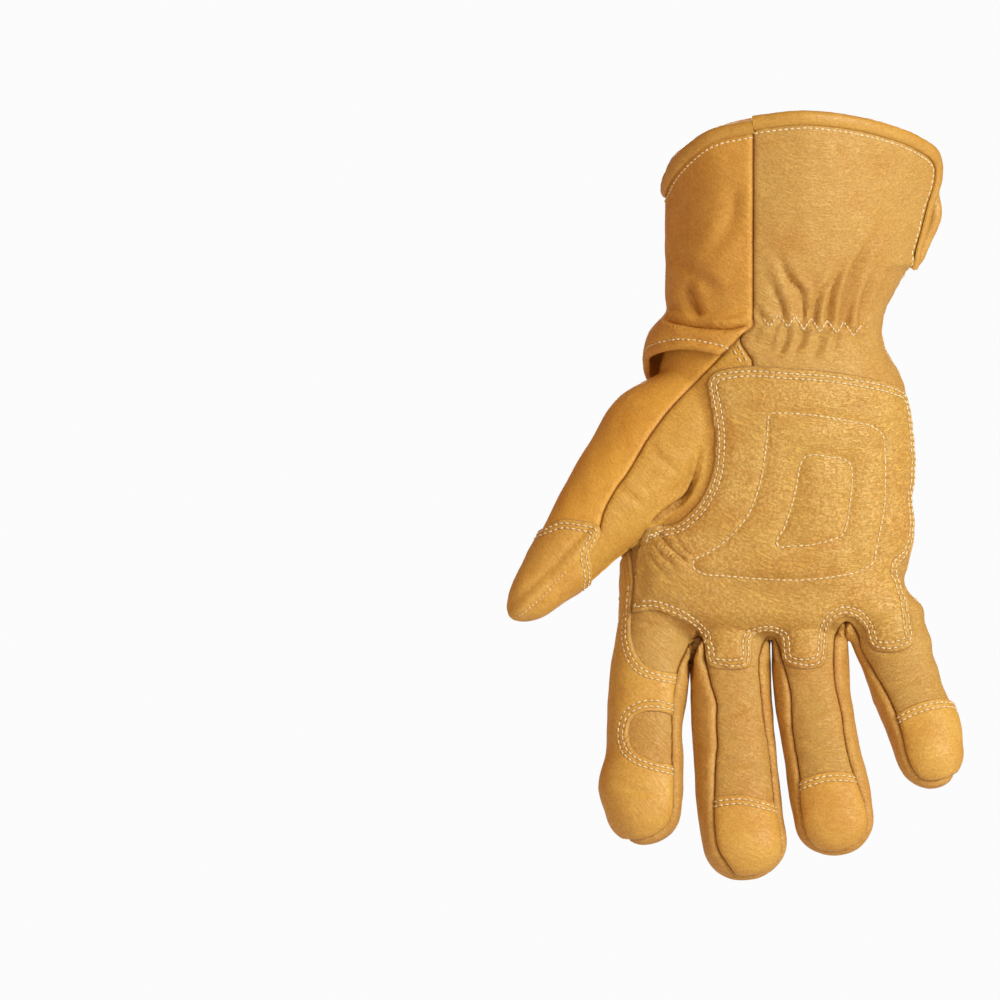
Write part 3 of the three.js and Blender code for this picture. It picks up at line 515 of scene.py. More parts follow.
def leather_look():
    look = bpy.data.node_groups.new("leather_look", "ShaderNodeTree")
    taken = {"Color": ["Base", "Deep", "Pale"],
             "Float": ["Grain Size", "Grain Depth", "Wrinkle Depth", "Roughness", "Shine"]}
    handed_on = {"Color": ["Color"], "Float": ["Roughness", "Height"]}
    for way, sockets in (("INPUT", taken), ("OUTPUT", handed_on)):
        for kind, names in sockets.items():
            for name in names:
                look.interface.new_socket(name=name, in_out=way, socket_type="NodeSocket" + kind)
    given = look.nodes.new("NodeGroupInput").outputs

    def times(first, second):
        return work_out(look, "MULTIPLY", first, second)

    def plus(first, second):
        return work_out(look, "ADD", first, second)

    def minus(first, second):
        return work_out(look, "SUBTRACT", first, second)

    def apart(first, second):
        return work_out(look, "ABSOLUTE", minus(first, second))

    def fitted(value, *limits):
        return fit(look, value, *limits)

    def vectors(operation, first, second, socket=1):
        return put(look, "ShaderNodeVectorMath", {0: first, socket: second}, operation=operation).outputs[0]

    def cloud(at, scale, detail, roughness=0.55, distortion=0.0):
        inputs = {"Vector": at, "Scale": scale, "Detail": detail, "Roughness": roughness,
                  "Distortion": distortion}
        return put(look, "ShaderNodeTexNoise", inputs).outputs["Fac"]

    # Cloudy colour, and a grain of round pebbles, strong in some places and weak in others
    place = put(look, "ShaderNodeTexCoord").outputs["Object"]
    spot = vectors("SCALE", place, 1 / MM, "Scale")
    blotch = cloud(spot, 0.045, 3)
    mottle = cloud(spot, 0.21, 4, 0.62, 0.4)
    patchy = fitted(cloud(spot, 0.07, 2), 0.36, 0.62)
    drift = vectors("ADD", spot, vectors("SCALE", cloud(spot, 0.5, 1), 0.8, "Scale"))
    cell = work_out(look, "DIVIDE", 1.0, given["Grain Size"])
    pebble = put(look, "ShaderNodeTexVoronoi", {"Vector": drift, "Scale": cell}, feature="F1")
    pebble = fitted(pebble.outputs["Distance"], 0.15, 0.8, 1, 0)
    strong = times(pebble, fitted(patchy, 0, 1, 0.25, 1))

    # Fine wrinkles across the glove, which lean with its form
    across = put(look, "ShaderNodeSeparateXYZ", {0: spot}).outputs[0]
    slope = work_out(look, "MULTIPLY_ADD", across, -0.0062, 0.34)
    lean = put(look, "ShaderNodeCombineXYZ", {"Z": times(across, slope)}).outputs[0]
    flat = vectors("MULTIPLY", vectors("ADD", drift, lean), (0.27, 0.5, 1.15))
    creep = cloud(flat, 0.95, 2, 0.55, 0.25)
    wrinkle = fitted(apart(creep, 0.5), 0.0, 0.06)
    wrinkle = times(wrinkle, fitted(apart(cloud(spot, 0.22, 1, 0.5, 0.6), 0.5), 0.0, 0.03, 0.6, 1))
    # The ripples' tone is painted light on their crests and painted shade in their troughs.
    ripple = times(fitted(creep, 0.37, 0.63, -0.5, 0.5), given["Wrinkle Depth"])
    ripple = times(ripple, fitted(patchy, 0, 1, 1, 0.4))

    # Seams are darker with dirt and painted shade, creases with painted shade, and the lines of stitches
    # with a painted shadow of the thread; raw edges are paler.
    seam, edge, crease = [put(look, "ShaderNodeAttribute", attribute_name=name).outputs["Fac"]
                          for name in ("seam", "edge", "crease")]
    crease = times(fitted(crease, 0.6, 3.0, 1, 0.68), fitted(crease, 3, 4.6, 1, 0.3))
    near_seam = fitted(seam, 0.05, 0.8)
    at_edge = fitted(edge, 0.2, 0.5)
    first, second = STITCH_ROWS
    row = fitted(apart(apart(edge, (first + second) / 2), (second - first) / 2), 0.1, 0.75)
    amount = plus(fitted(blotch, 0.42, 0.72, 0, 0.4), fitted(mottle, 0.42, 0.8, 0, 0.2))
    skin = blend_colours(look, amount, given["Base"], given["Deep"])
    # Painted highlights: the pebbles' tops are mixed towards the pale colour.
    skin = blend_colours(look, times(strong, given["Shine"]), skin, given["Pale"])
    fine = times(minus(1.0, wrinkle), times(given["Wrinkle Depth"], 0.8))
    shade = fitted(pebble, 0.0, 0.7, 0.9, 1.02)
    # The shade darkens the wrinkles, and adds the ripples' painted light and shade, the seams' dirt and
    # painted shade, the creases' painted shade and the stitch rows' painted shadow.
    for factor in (minus(1.0, fine), work_out(look, "MULTIPLY_ADD", ripple, 1.7, 1.0),
                   fitted(near_seam, 0, 1, 0.38, 1), crease, fitted(row, 0, 1, 0.84, 1)):
        shade = times(shade, factor)
    # Where the shade darkens, the colour turns redder.
    tone = put(look, "ShaderNodeCombineColor", {"Red": work_out(look, "POWER", shade, 0.75), "Green": shade,
                                                "Blue": work_out(look, "POWER", shade, 1.2)}).outputs[0]
    skin = blend_colours(look, 1.0, skin, tone, "MULTIPLY")
    skin = blend_colours(look, at_edge, colour(186, 152, 98), skin)

    height = plus(times(strong, given["Grain Depth"]), times(wrinkle, given["Wrinkle Depth"]))
    height = plus(work_out(look, "MULTIPLY_ADD", ripple, 2.0, height), times(row, 0.22))
    rough = plus(given["Roughness"], fitted(mottle, 0.3, 0.7, -0.05, 0.07))
    rough = plus(rough, fitted(pebble, 0, 1, 0.08, -0.03))
    result = look.nodes.new("NodeGroupOutput").inputs
    for name, value in (("Color", skin), ("Roughness", rough), ("Height", height)):
        look.links.new(value, result[name])
    return look


LEATHER_LOOK = leather_look()


def leather_finish(name, base, deep, grain, grain_depth, wrinkle, roughness, shine=0.12):
    finish = bpy.data.materials.new(name)
    finish.use_nodes = True
    tree = finish.node_tree
    # The pale colour is the painted highlight on the pebbles' tops.
    pale = tuple(c + (p - c) * 0.5 for c, p in zip(base, (250, 222, 165)))
    inputs = {"Base": colour(*base), "Deep": colour(*deep), "Pale": colour(*pale), "Grain Size": grain,
              "Grain Depth": grain_depth, "Wrinkle Depth": wrinkle, "Roughness": roughness, "Shine": shine}
    look = put(tree, "ShaderNodeGroup", inputs, node_tree=LEATHER_LOOK)
    surface = tree.nodes["Principled BSDF"]
    tree.links.new(look.outputs["Color"], surface.inputs["Base Color"])
    tree.links.new(look.outputs["Roughness"], surface.inputs["Roughness"])
    inputs = {"Strength": 0.9, "Distance": MM, "Height": look.outputs["Height"]}
    relief = put(tree, "ShaderNodeBump", inputs)
    tree.links.new(relief.outputs["Normal"], surface.inputs["Normal"])
    surface.inputs["Specular IOR Level"].default_value = 0.42
    return finish


# Palm panel
# One piece of hide makes the palm, the fronts of the four fingers and the palm side of the cuff. It is cut
# with the other hand panels, from the skin, along the seam lines, and its edges turn down into the seams.
KNUCKLE_Z = -94
CUFF_FAR = 130  # above the cuff, where the fingers' centre lines meet
FAR = 240  # outside the glove on all sides
FAR_OFF = 30.0  # the distance from seams or edges where none is near
WALL = 1.7  # a panel's thickness
SLIT_Y = 1  # the middle of the slit at the little-finger side
NOT_CUT = 60  # well outside any cut
SMOOTH_ANGLE = math.radians(62)


def finger_at(finger, z, key):
    """Where a finger's centre line runs. Above the knuckles it turns towards the middle of the cuff."""
    rows = DIGIT_ROWS[finger]
    low, before = rows[-1], rows[-2]
    slope = (low[key] - before[key]) / (low["z"] - before["z"])
    heights = [-FAR] + [row["z"] for row in rows[::-1]]
    values = [low[key] + slope * (-FAR - low["z"])] + [row[key] for row in rows[::-1]]
    root = np.interp(KNUCKLE_Z, heights, values)
    above = root * (CUFF_FAR - z) / (CUFF_FAR - KNUCKLE_Z)
    return np.where(z > KNUCKLE_Z, above, np.interp(z, heights, values))


def behind_middle(points):
    """How far points are behind the middle of hand and fingers, where the palm side meets the back."""
    x, y, z = points[:, :3].T
    lines = [finger_at(finger, z, "x") for finger in FINGERS]
    levels = [finger_at(finger, z, "y") for finger in FINGERS]
    result = levels[0]
    for i in range(3):
        part = np.clip((x - lines[i]) / (lines[i + 1] - lines[i]), 0, 1)
        result = result + part * (levels[i + 1] - levels[i])
    return y - result


def inside_by(skin, line):
    """How far each point is inside a closed line in X and Z, and less than 0 outside it."""
    spots = skin[:, [0, 2]]
    after = np.roll(line, -1, axis=0)
    run = after - line
    result = np.empty(len(spots))
    batch = 4000
    for first in range(0, len(spots), batch):
        some = slice(first, first + batch)
        rest = spots[some, None] - line[None]
        t = np.clip((rest * run).sum(axis=2) / np.maximum((run**2).sum(axis=1), 1e-9), 0, 1)
        away = np.sqrt(((rest - t[..., None] * run) ** 2).sum(axis=2).min(axis=1))
        x, z = spots[some, 0, None], spots[some, 1, None]
        crosses = (line[:, 1] > z) != (after[:, 1] > z)
        left = x < run[:, 0] * (z - line[:, 1]) / np.where(run[:, 1] == 0, 1e-9, run[:, 1]) + line[:, 0]
        result[some] = np.where((crosses & left).sum(axis=1) % 2 == 1, away, -away)
    return result


def inside_either(points, first, second, share):
    """The same for a line that turns into a second one, as the share of the second goes from 0 to 1."""
    return inside_by(points, first) * (1 - share) + inside_by(points, second) * share


def larger(first, second, round_off):
    """The larger of two values, with the corner between them rounded."""
    return (first + second + np.sqrt((first - second) ** 2 + round_off**2)) / 2


def edges_of(faces):
    return np.vstack([faces[:, [0, 1]], faces[:, [1, 2]], faces[:, [2, 0]]])


def cut(points, faces, marks, value):
    """Cuts the triangles where the value passes 0, and marks each face with the side that it is on.

    The value is kept as a new last column of the points. Points close to the cut are moved on to it.
    """
    near_cut = 0.25
    points, value = np.column_stack([points, value]), value.copy()
    edges = np.sort(edges_of(faces), axis=1)
    edges = edges[value[edges[:, 0]] * value[edges[:, 1]] < 0]
    edges = np.unique(edges, axis=0)
    t = value[edges[:, 0]] / (value[edges[:, 0]] - value[edges[:, 1]])
    close = np.vstack([np.column_stack([edges, t]), np.column_stack([edges[:, ::-1], 1 - t])])
    close = close[close[:, 2] < near_cut]
    close = close[np.argsort(-close[:, 2])]
    moved, towards = close[:, 0].astype(int), close[:, 1].astype(int)
    snapped = points[moved] + (points[towards] - points[moved]) * close[:, 2:]
    points[moved] = snapped
    points[moved, -1] = 0
    value[moved] = 0
    edges = edges[value[edges[:, 0]] * value[edges[:, 1]] < 0]
    t = (value[edges[:, 0]] / (value[edges[:, 0]] - value[edges[:, 1]]))[:, None]
    new = points[edges[:, 0]] * (1 - t) + points[edges[:, 1]] * t
    new[:, -1] = 0
    number = {(a, b): len(points) + i for i, (a, b) in enumerate(edges.tolist())}
    points = np.vstack([points, new])
    value = np.r_[value, np.zeros(len(new))]
    sign = np.sign(value[faces])
    split = (sign.min(axis=1) < 0) & (sign.max(axis=1) > 0)
    made, parents = [], []
    for index in np.flatnonzero(split).tolist():
        corners = faces[index].tolist()
        ends = [(min(a, b), max(a, b)) for a, b in zip(corners, corners[1:] + corners[:1])]
        between = [number.get(end) for end in ends]
        if sum(spot is not None for spot in between) == 1:
            i = next(i for i in range(3) if between[i] is not None)
            a, b, c = corners[i], corners[(i + 1) % 3], corners[(i + 2) % 3]
            made += [(a, between[i], c), (between[i], b, c)]
            parents += [index] * 2
        else:
            i = next(i for i in range(3) if between[i] is None)
            a, b, c = corners[i], corners[(i + 1) % 3], corners[(i + 2) % 3]
            right, left = between[(i + 1) % 3], between[(i + 2) % 3]
            made += [(a, b, right), (a, right, left), (left, right, c)]
            parents += [index] * 3
    kept = np.flatnonzero(~split)
    faces = np.vstack([faces[kept], np.array(made, int).reshape(-1, 3)])
    marks = marks[np.r_[kept, np.array(parents, int)]]
    side = value[faces].sum(axis=1) > 0
    return points, faces, np.column_stack([marks, side])


def part_of(points, faces, chosen):
    """The chosen faces alone, with only the points that they use."""
    used, faces = np.unique(faces[chosen], return_inverse=True)
    return points[used].copy(), faces.reshape(-1, 3)


def trimmed(points, faces, value):
    """The part where the value is above 0. The last column of its points is 0 along the cut."""
    points, faces, marks = cut(points, faces, np.zeros((len(faces), 0), bool), value)
    return part_of(points, faces, marks[:, 0].astype(bool))


def open_edges(faces):
    """The edges that only one face has, in that face's direction."""
    edges = edges_of(faces)
    size = faces.max() + 1
    forward, backward = edges[:, 0] * size + edges[:, 1], edges[:, 1] * size + edges[:, 0]
    return edges[~np.isin(forward, backward)]


def lie_on(points, edges, column):
    """Which of the edges lie where a column of the points is 0."""
    return (np.abs(points[edges, column]) < 1e-9).all(axis=1)


def away_from(points, edges):
    """How far each point is from some edges of its piece."""
    result = np.full(len(points), FAR_OFF)
    if not len(edges):
        return result
    part = np.linspace(0, 0.75, 4)[:, None, None]
    marks = (points[edges[:, 0], :3] * (1 - part) + points[edges[:, 1], :3] * part).reshape(-1, 3)
    tree = KDTree(len(marks))
    for number, mark in enumerate(marks.tolist()):
        tree.insert(mark, number)
    tree.balance()
    for number, spot in enumerate(points[:, :3].tolist()):
        result[number] = min(tree.find(spot)[2], FAR_OFF)
    return result


def keep_values(piece, **values):
    """Keeps values for the points of a mesh, which its finish reads."""
    for key, value in values.items():
        value = np.broadcast_to(value, len(piece.data.vertices)).astype(np.float32)
        piece.data.attributes.new(key, "FLOAT", "POINT").data.foreach_set("value", value)


def sew(name, points, faces, up, down, seam, edge, finish):
    """A closed piece of leather with its outer and inner face at these heights over its points.

    Gives the piece and its outer face. Seam and edge are how far the points are from seams and raw edges.
    """
    outer, inner = points[:, :7].copy(), points[:, :7].copy()
    push(outer, up)
    push(inner, down)
    count = len(points)
    a, b = open_edges(faces).T
    side = np.vstack([np.column_stack([b, a, a + count]), np.column_stack([b, a + count, b + count])])
    everything = np.vstack([faces, faces[:, ::-1] + count, side])
    piece = object_from(name, np.vstack([outer, inner])[:, :3] * MM, everything)
    keep_values(piece, seam=np.tile(seam, 2), edge=np.tile(edge, 2), crease=np.tile(outer[:, CREASE_SHADE], 2))
    piece.data.materials.append(finish)
    pick(piece)
    bpy.ops.object.shade_smooth_by_angle(angle=SMOOTH_ANGLE)
    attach(piece, "root")
    return piece, outer


def turned_in(seam, depth, reach=1.9):
    """How deep a piece's edge turns down into its seams."""
    return depth * (1 - np.minimum(seam / reach, 1)) ** 2


def pucker(points, seam, size=0.13):
    """Small ripples beside the seams, from the pull of the thread."""
    wave = np.sin(points[:, 2] * 0.8 + 0.7 * np.sin(points[:, 0] * 0.3)) * np.sin(points[:, 0] * 0.5 + 1)
    wave += 0.4 * np.sin(points[:, 2] * 1.3 + points[:, 0])
    return size * wave * bell(seam, 1.8, 2)


def panel(name, points, faces, finish, deep=0.85, round_up=0.0):
    """A leather panel whose edges turn down into its seams. Gives the piece and its outer face."""
    seam = away_from(points, open_edges(faces))
    up = pucker(points, seam) - turned_in(seam, deep)
    up += round_up * (1 - (1 - np.minimum(seam / 3.2, 1)) ** 2)
    down = -WALL - turned_in(seam, deep * 0.7)
    return sew(name, points, faces, up, down, seam, np.full(len(points), FAR_OFF), finish)


# The seam lines, as X and Z in millimetres
FRONT_SEAMS = [
    [-80, -188], [-69, -198.4], [-65.4, -201.2], [-61, -203.6], [-54.8, -203.9], [-48.6, -201.8],
    [-44.2, -198.2], [-42, -192.6], [-41.8, -186], [-41.6, -164.8], [-40.8, -142.4], [-39.2, -136],
    [-36.4, -129.6], [-33.2, -124.6], [-31, -122.8], [-29.6, -125], [-28.9, -131.4], [-27, -141.6],
    [-24.4, -150.8], [-24.7, -158.4], [-24.2, -165.6], [-25, -174], [-25.4, -189.2], [-25, -200.8],
    [-23.9, -207.6], [-19.7, -214.6], [-11, -223], [-2.8, -219], [0.6, -213.6], [1.4, -206.8],
    [0.6, -199.2], [-0.6, -191.6], [-1.7, -181.6], [-2.8, -170], [-4.8, -157.6], [-5.9, -147.2],
    [-6.3, -129.6], [-4.8, -125.2], [-2.3, -123.8], [-0.2, -126.4], [1.6, -132.8], [4.8, -144.8],
    [5.6, -160], [8.4, -178.4], [9.6, -193.6], [11.6, -202.8], [15.6, -208], [24, -214], [33.1, -205.4],
    [35.6, -198.6], [34.8, -190.8], [32.7, -184], [30, -176], [27.4, -164.8], [26, -153.6],
    [23.6, -143], [23, -130], [24.2, -121.4], [27.6, -117.6], [30.6, -120], [33.5, -129.2],
    [37.4, -136], [42.6, -144.8], [45.6, -150.8], [48.7, -158.8], [50.2, -164.4], [51.7, -171],
    [54.2, -176.6], [57.2, -180], [60.8, -181], [65.2, -180.4], [69.8, -178.5], [73, -175.8],
    [76.4, -170.6], [82, -158],
]
PALM_EDGE = [
    [-10, 1], [-15.4, -4.6], [-12.9, -9.4], [-10.3, -13.4], [-13, -24], [-18, -45], [-21.5, -60],
    [-29, -74], [-40, -81], [-50, -84], [-58.4, -88],
]
THUMB_BACK_SEAM = [[-47, 20], [-45, -22], [-41, -44], [-47.5, -69], [-58.4, -88]]
THUMB_GAP = [[-61, -91], [-64.6, -96], [-67, -101], [-69.6, -110], [-72, -130]]
RADIAL_SIDE = [[-130, -FAR], [-FAR, -FAR], [-FAR, 140]]
OUTSIDE = [[FAR, -150], [FAR, 140], [-FAR, 140]]
front_line = np.vstack([smooth_line(FRONT_SEAMS, 440), OUTSIDE, [[-FAR, -170]]])
# The seams on the back run down each finger's side, round its tip, and up to the top of the next gap.
GAP_TOPS = dict(index=[[-34.4, -117]], middle=[[-3.6, -119]], ring=[[26, -112.4]], little=[])
back_rows = []
for finger in FINGERS:
    rows = [row for row in DIGIT_ROWS[finger] if row["z"] < -115]
    tip_x, tip_z, tip = rows[-1]["x"], rows[-1]["z"], TIP_LENGTH[finger]
    side = 0.78 if finger in ("index", "little") else 0.74
    down = [[row["x"] - side * row["wide"], row["z"]] for row in rows]
    down.append([tip_x - 8.5, tip_z - tip * 0.62])
    up = [[tip_x + 8.5, tip_z - tip * 0.62]]
    up += [[row["x"] + side * row["wide"], row["z"]] for row in rows[::-1]]
    if finger == "index":
        down = [[-72, -206.4], [-67, -203.2], [-63, -203.3], [-59.4, -204]]
    if finger == "little":
        up = [[66, -180.9], [70.8, -178.2], [74.8, -174.4], [84, -164]]
    back_rows += down + [[tip_x, tip_z - tip * 0.88]] + up + GAP_TOPS[finger]
back_line = np.vstack([smooth_line(back_rows, 420), OUTSIDE, [[-FAR, -FAR], [-74, -FAR]]])
thumb_side_rest = np.vstack([smooth_line(THUMB_GAP, 30), RADIAL_SIDE])
palm_thumb_line = np.vstack([[[-10, 140]], smooth_line(PALM_EDGE, 60), thumb_side_rest])
back_thumb_line = np.vstack([[[-47, 140]], smooth_line(THUMB_BACK_SEAM, 60), thumb_side_rest])


def thumb_front(points):
    """Below 0 on the thumb's front half."""
    return points[:, 1] + 9.5 - 0.28 * (points[:, 2] + 51)


def above_hem(points):
    """Above 0 over the lower end of the cuff, which stands over the hand."""
    x, y, z = points[:, :3].T
    palm = -larger(9.3 + 0.0164 * (x + 39) ** 2, 20 + 1.2 * y, 3)
    back = -larger(11.7 - 0.15 * x + 0.3 * y, 14 + 0.1 * x, 3)
    return z - larger(palm, back, 3)


def above_rim(points):
    """Above 0 over the cuff's upper edge, which rises over the palm and over the back of the hand."""
    x, y, z = points[:, :3].T
    side = 0.0016 * np.maximum(x - 5, 0) ** 2
    return z - (59 - 1.3 * bell(x, 12, 25) + 0.06 * x + side + 0.76 * (np.hypot(y, 6) - 6))


def slit_half(z):
    """Half the width of the slit at the little-finger side, which opens upwards."""
    return ramp(z, 22.5, 26) * (1.2 + np.clip(z - 25, 0, None) * 3.8 / 75)


def below_slit(z):
    """0 beside the slit, and large below its foot, where nothing is cut away."""
    return NOT_CUT * (1 - ramp(z, 20, 25))


hand, hand_marks = hand_skin, np.zeros((len(hand_faces), 0), bool)
share = ramp(thumb_front(hand), -3, 3)
thumb_side = inside_either(hand, palm_thumb_line, back_thumb_line, share)
hand, hand_faces, hand_marks = cut(hand, hand_faces, hand_marks, thumb_side)
half = behind_middle(hand)
from_little = hand[:, 0] - finger_at("little", hand[:, 2], "x")
half -= 2.4 * ramp(from_little, 2, 8) * ramp(-hand[:, 2], 18, 34)
hand, hand_faces, hand_marks = cut(hand, hand_faces, hand_marks, half)
on_strip = -inside_either(hand, front_line, back_line, ramp(behind_middle(hand), -2, 2))
hand, hand_faces, hand_marks = cut(hand, hand_faces, hand_marks, on_strip)
slit = hand[:, 1] - SLIT_Y + slit_half(hand[:, 2]) - below_slit(hand[:, 2])
palm_rim_column = hand.shape[1]
hand, hand_faces, hand_marks = cut(hand, hand_faces, hand_marks, larger(above_rim(hand), slit, 4.5))
under_cuff = above_hem(hand) - 8
under_cuff += 5.5 * ramp(hand[:, 0], 30, 42) * (1 - ramp(hand[:, 1], 6, 14))
hand, hand_faces, hand_marks = cut(hand, hand_faces, hand_marks, under_cuff)
of_thumb, of_back, of_strip, cut_off, hidden = hand_marks.T.astype(bool)

palm_finish = leather_finish("palm leather", (197, 157, 80), (187, 128, 48), grain=0.9,
                             grain_depth=0.05, wrinkle=0.09, roughness=0.53)
palm_points, palm_faces = part_of(hand, hand_faces, ~of_thumb & ~of_back & ~of_strip & ~cut_off)
palm, palm_outer = panel("palm_leather", palm_points, palm_faces, palm_finish)
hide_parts("palm_panel")

# Back panel
# The back of the hand and of the four fingers is one smooth piece. Its upper end goes in under the cuff.
back_finish = leather_finish("back leather", (212, 161, 78), (192, 132, 50), grain=0.8,
                             grain_depth=0.04, wrinkle=0.06, roughness=0.5)
points, faces = part_of(hand, hand_faces, ~of_thumb & of_back & ~of_strip & ~hidden)
back, _ = panel("back_leather", points, faces, back_finish)
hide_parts("back_panel")

# Side strips
# A narrow strip of smooth leather runs down between each two fingers, and round the tips as a rolled rim.
strip_finish = leather_finish("strip leather", (205, 160, 80), (188, 124, 44), grain=0.8,
                              grain_depth=0.04, wrinkle=0.09, roughness=0.5)
points, faces = part_of(hand, hand_faces, ~of_thumb & of_strip & ~hidden)
# Where two fingers lie side by side, the strips are flat, so that a gap stays open. Their ends thin out.
sideways = ramp(np.abs(points[:, 3]), 0.5, 0.9) * (1 - ramp(points[:, 0], 2, 8))
close_by = sideways * (1 - ramp(-points[:, 2], 130, 155))
thinning = (0.1 + 0.9 * ramp(points[:, 0], -64, -52)) * (1 - 0.9 * ramp(points[:, 0], 62, 73))
strips, _ = panel("side_strips", points, faces, strip_finish, deep=1.2,
                  round_up=(1.1 - 0.9 * close_by) * thinning)
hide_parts("side_strip_index_middle", "side_strip_middle_ring", "side_strip_ring_little")

# Thumb
# Two panels make the thumb: a back one that comes round from the back of the hand, and a palm one below the
# diagonal seam. Both go in under the cuff.
THUMB_SEAM = [
    [0, 9], [-6, 3.6], [-18.8, -6.8], [-24.4, -13.2], [-32, -20.8], [-44.4, -34], [-52.4, -45.2],
    [-59.2, -56.8], [-66.8, -68], [-69.6, -74], [-71.2, -80.4], [-73.6, -84.4], [-80, -91.2],
    [-88.8, -101.6], [-104.4, -114.4],
]
below_seam = np.vstack([smooth_line(THUMB_SEAM, 120), [[-130, -FAR], [30, -FAR], [30, 9]]])
thumb, thumb_faces = part_of(hand, hand_faces, of_thumb & ~hidden)
on_palm = np.minimum(inside_by(thumb, below_seam), -thumb_front(thumb))
thumb, thumb_faces, thumb_marks = cut(thumb, thumb_faces, np.zeros((len(thumb_faces), 0), bool), on_palm)
of_palm = thumb_marks[:, 0].astype(bool)

thumb_palm_finish = leather_finish("thumb palm leather", (205, 158, 65), (186, 126, 42), grain=0.9,
                                   grain_depth=0.05, wrinkle=0.08, roughness=0.52)
points, thumb_palm_faces = part_of(thumb, thumb_faces, of_palm)
thumb_palm, thumb_palm_outer = panel("thumb_palm_leather", points, thumb_palm_faces, thumb_palm_finish)
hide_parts("thumb_palm_panel")

thumb_back_finish = leather_finish("thumb back leather", (220, 167, 65), (192, 124, 38), grain=0.8,
                                   grain_depth=0.03, wrinkle=0.06, roughness=0.46)
points, thumb_back_faces = part_of(thumb, thumb_faces, ~of_palm)
thumb_back, thumb_back_outer = panel("thumb_back_leather", points, thumb_back_faces, thumb_back_finish)
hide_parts("thumb_back_panel")

# Palm pad
# A second, pebbled piece of hide is sewn over the palm with two rows of stitches near its raw edge. It is
# padded, and two D shapes are quilted into it. Its lower end is scalloped round the roots of the fingers.
PAD_EDGE = [
    [-27.6, -20.6], [-25.4, -17.8], [-19, -16], [-7, -15.2], [2.4, -16], [12, -16.6], [21, -17.4],
    [34.4, -19.7], [47.6, -23.2], [56, -27.6], [70, -40], [72, -62], [70, -80], [60, -88],
    [52.4, -92.4], [48.4, -95.8], [50.4, -99.8], [52.2, -104], [52.8, -107.8], [53.6, -112.4],
    [54.6, -118.6], [55.6, -123.2], [54.2, -127], [49.8, -129.4], [42.9, -130.2], [38.3, -129.2],
    [36, -126.2], [34.9, -122.4], [33, -118.6], [29.9, -115.9], [26.1, -115.4], [22.6, -117.4],
    [21.1, -121.6], [20.5, -127], [20.2, -131], [19, -134.6], [15.6, -136.4], [8.5, -136.6],
    [3.2, -134.8], [1.6, -131.6], [1.3, -127.4], [0.6, -123.8], [-2, -121.6], [-6, -121.4],
    [-9.4, -124.4], [-9.8, -131], [-11, -135.6], [-15.4, -137], [-21.6, -136.8], [-27.6, -135.4],
    [-29.4, -129], [-31.6, -121.6], [-36.6, -117.6], [-42.2, -115.2], [-49.6, -113.2], [-58.4, -114],
    [-57.8, -109], [-57, -101], [-56.4, -92.4], [-54.6, -84.4], [-52.6, -80.6], [-49, -79.2],
    [-41.2, -77.9], [-32.8, -71.2], [-28.9, -65.2], [-26.2, -57.8], [-25.2, -50], [-25.4, -40],
    [-26.8, -30.6],
]
QUILT_OUTER = [
    [-3.4, -35.2], [-2.6, -34.4], [1.6, -34.2], [14.2, -34.9], [28.1, -37.3], [38.1, -39.9],
    [41.3, -43], [42, -48.7], [42.2, -62], [41.9, -71.9], [40.7, -79.2], [39.1, -87.2], [37.7, -93.5],
    [33.4, -96.5], [21.5, -99.2], [8.2, -100.4], [-8.4, -99.9], [-21.6, -98.8], [-30.2, -97.8],
    [-33.2, -95.8], [-33.4, -93.2], [-28.3, -90.2], [-23, -86.8], [-17.6, -81.9], [-12.4, -75.6],
    [-8.4, -66.6], [-6, -57.3], [-4.7, -48], [-3.8, -38.8],
]
QUILT_INNER = [
    [10.5, -51.7], [14.2, -50.6], [20.2, -51.5], [26.1, -52.4], [28.5, -54.3], [29.4, -59.3],
    [28.9, -66], [28.1, -72.6], [27.1, -79.2], [25.8, -82.2], [20.2, -84.8], [11.5, -86.6], [4.9, -87],
    [0.4, -87], [-0.4, -86], [2.6, -79.9], [4.6, -73.9], [6.6, -66.6], [7.9, -60], [8.9, -55],
]


def patch(name, points, faces, finish, thick=1.2, puff=0.0, seam_deep=1.2, extra=0.0, slope=2.4, sewn=1.0):
    """A second layer on the panels: it stands up at its raw edges and turns down into the seams.

    Its points come from trimmed. Gives the piece, its outer face, and how far that is from the raw edges.
    """
    edges = open_edges(faces)
    raw = lie_on(points, edges, -1)
    seam, edge = away_from(points, edges[~raw]), away_from(points, edges[raw])
    first, second = STITCH_ROWS
    stand = thick * (0.25 + 0.75 * np.sqrt(1 - (1 - np.minimum(edge / 0.8, 1)) ** 2))
    valley = 0.32 * (bell(edge, first, 0.7) + bell(edge, second, 0.7))
    between = 0.12 * bell(edge, (first + second) / 2, 0.6)
    up = stand - (valley - between) * sewn - turned_in(seam, seam_deep, slope)
    up += puff * ramp(np.minimum(edge, seam), 3, 12) + pucker(points, edge, 0.16) + extra
    low = 0.12 - turned_in(seam, seam_deep + 0.25, slope)
    shown_edge = edge + 9 * (1 - sewn)
    piece, outer = sew(name, points, faces, up, np.minimum(low, up - 0.25), seam, shown_edge, finish)
    return piece, outer, edge


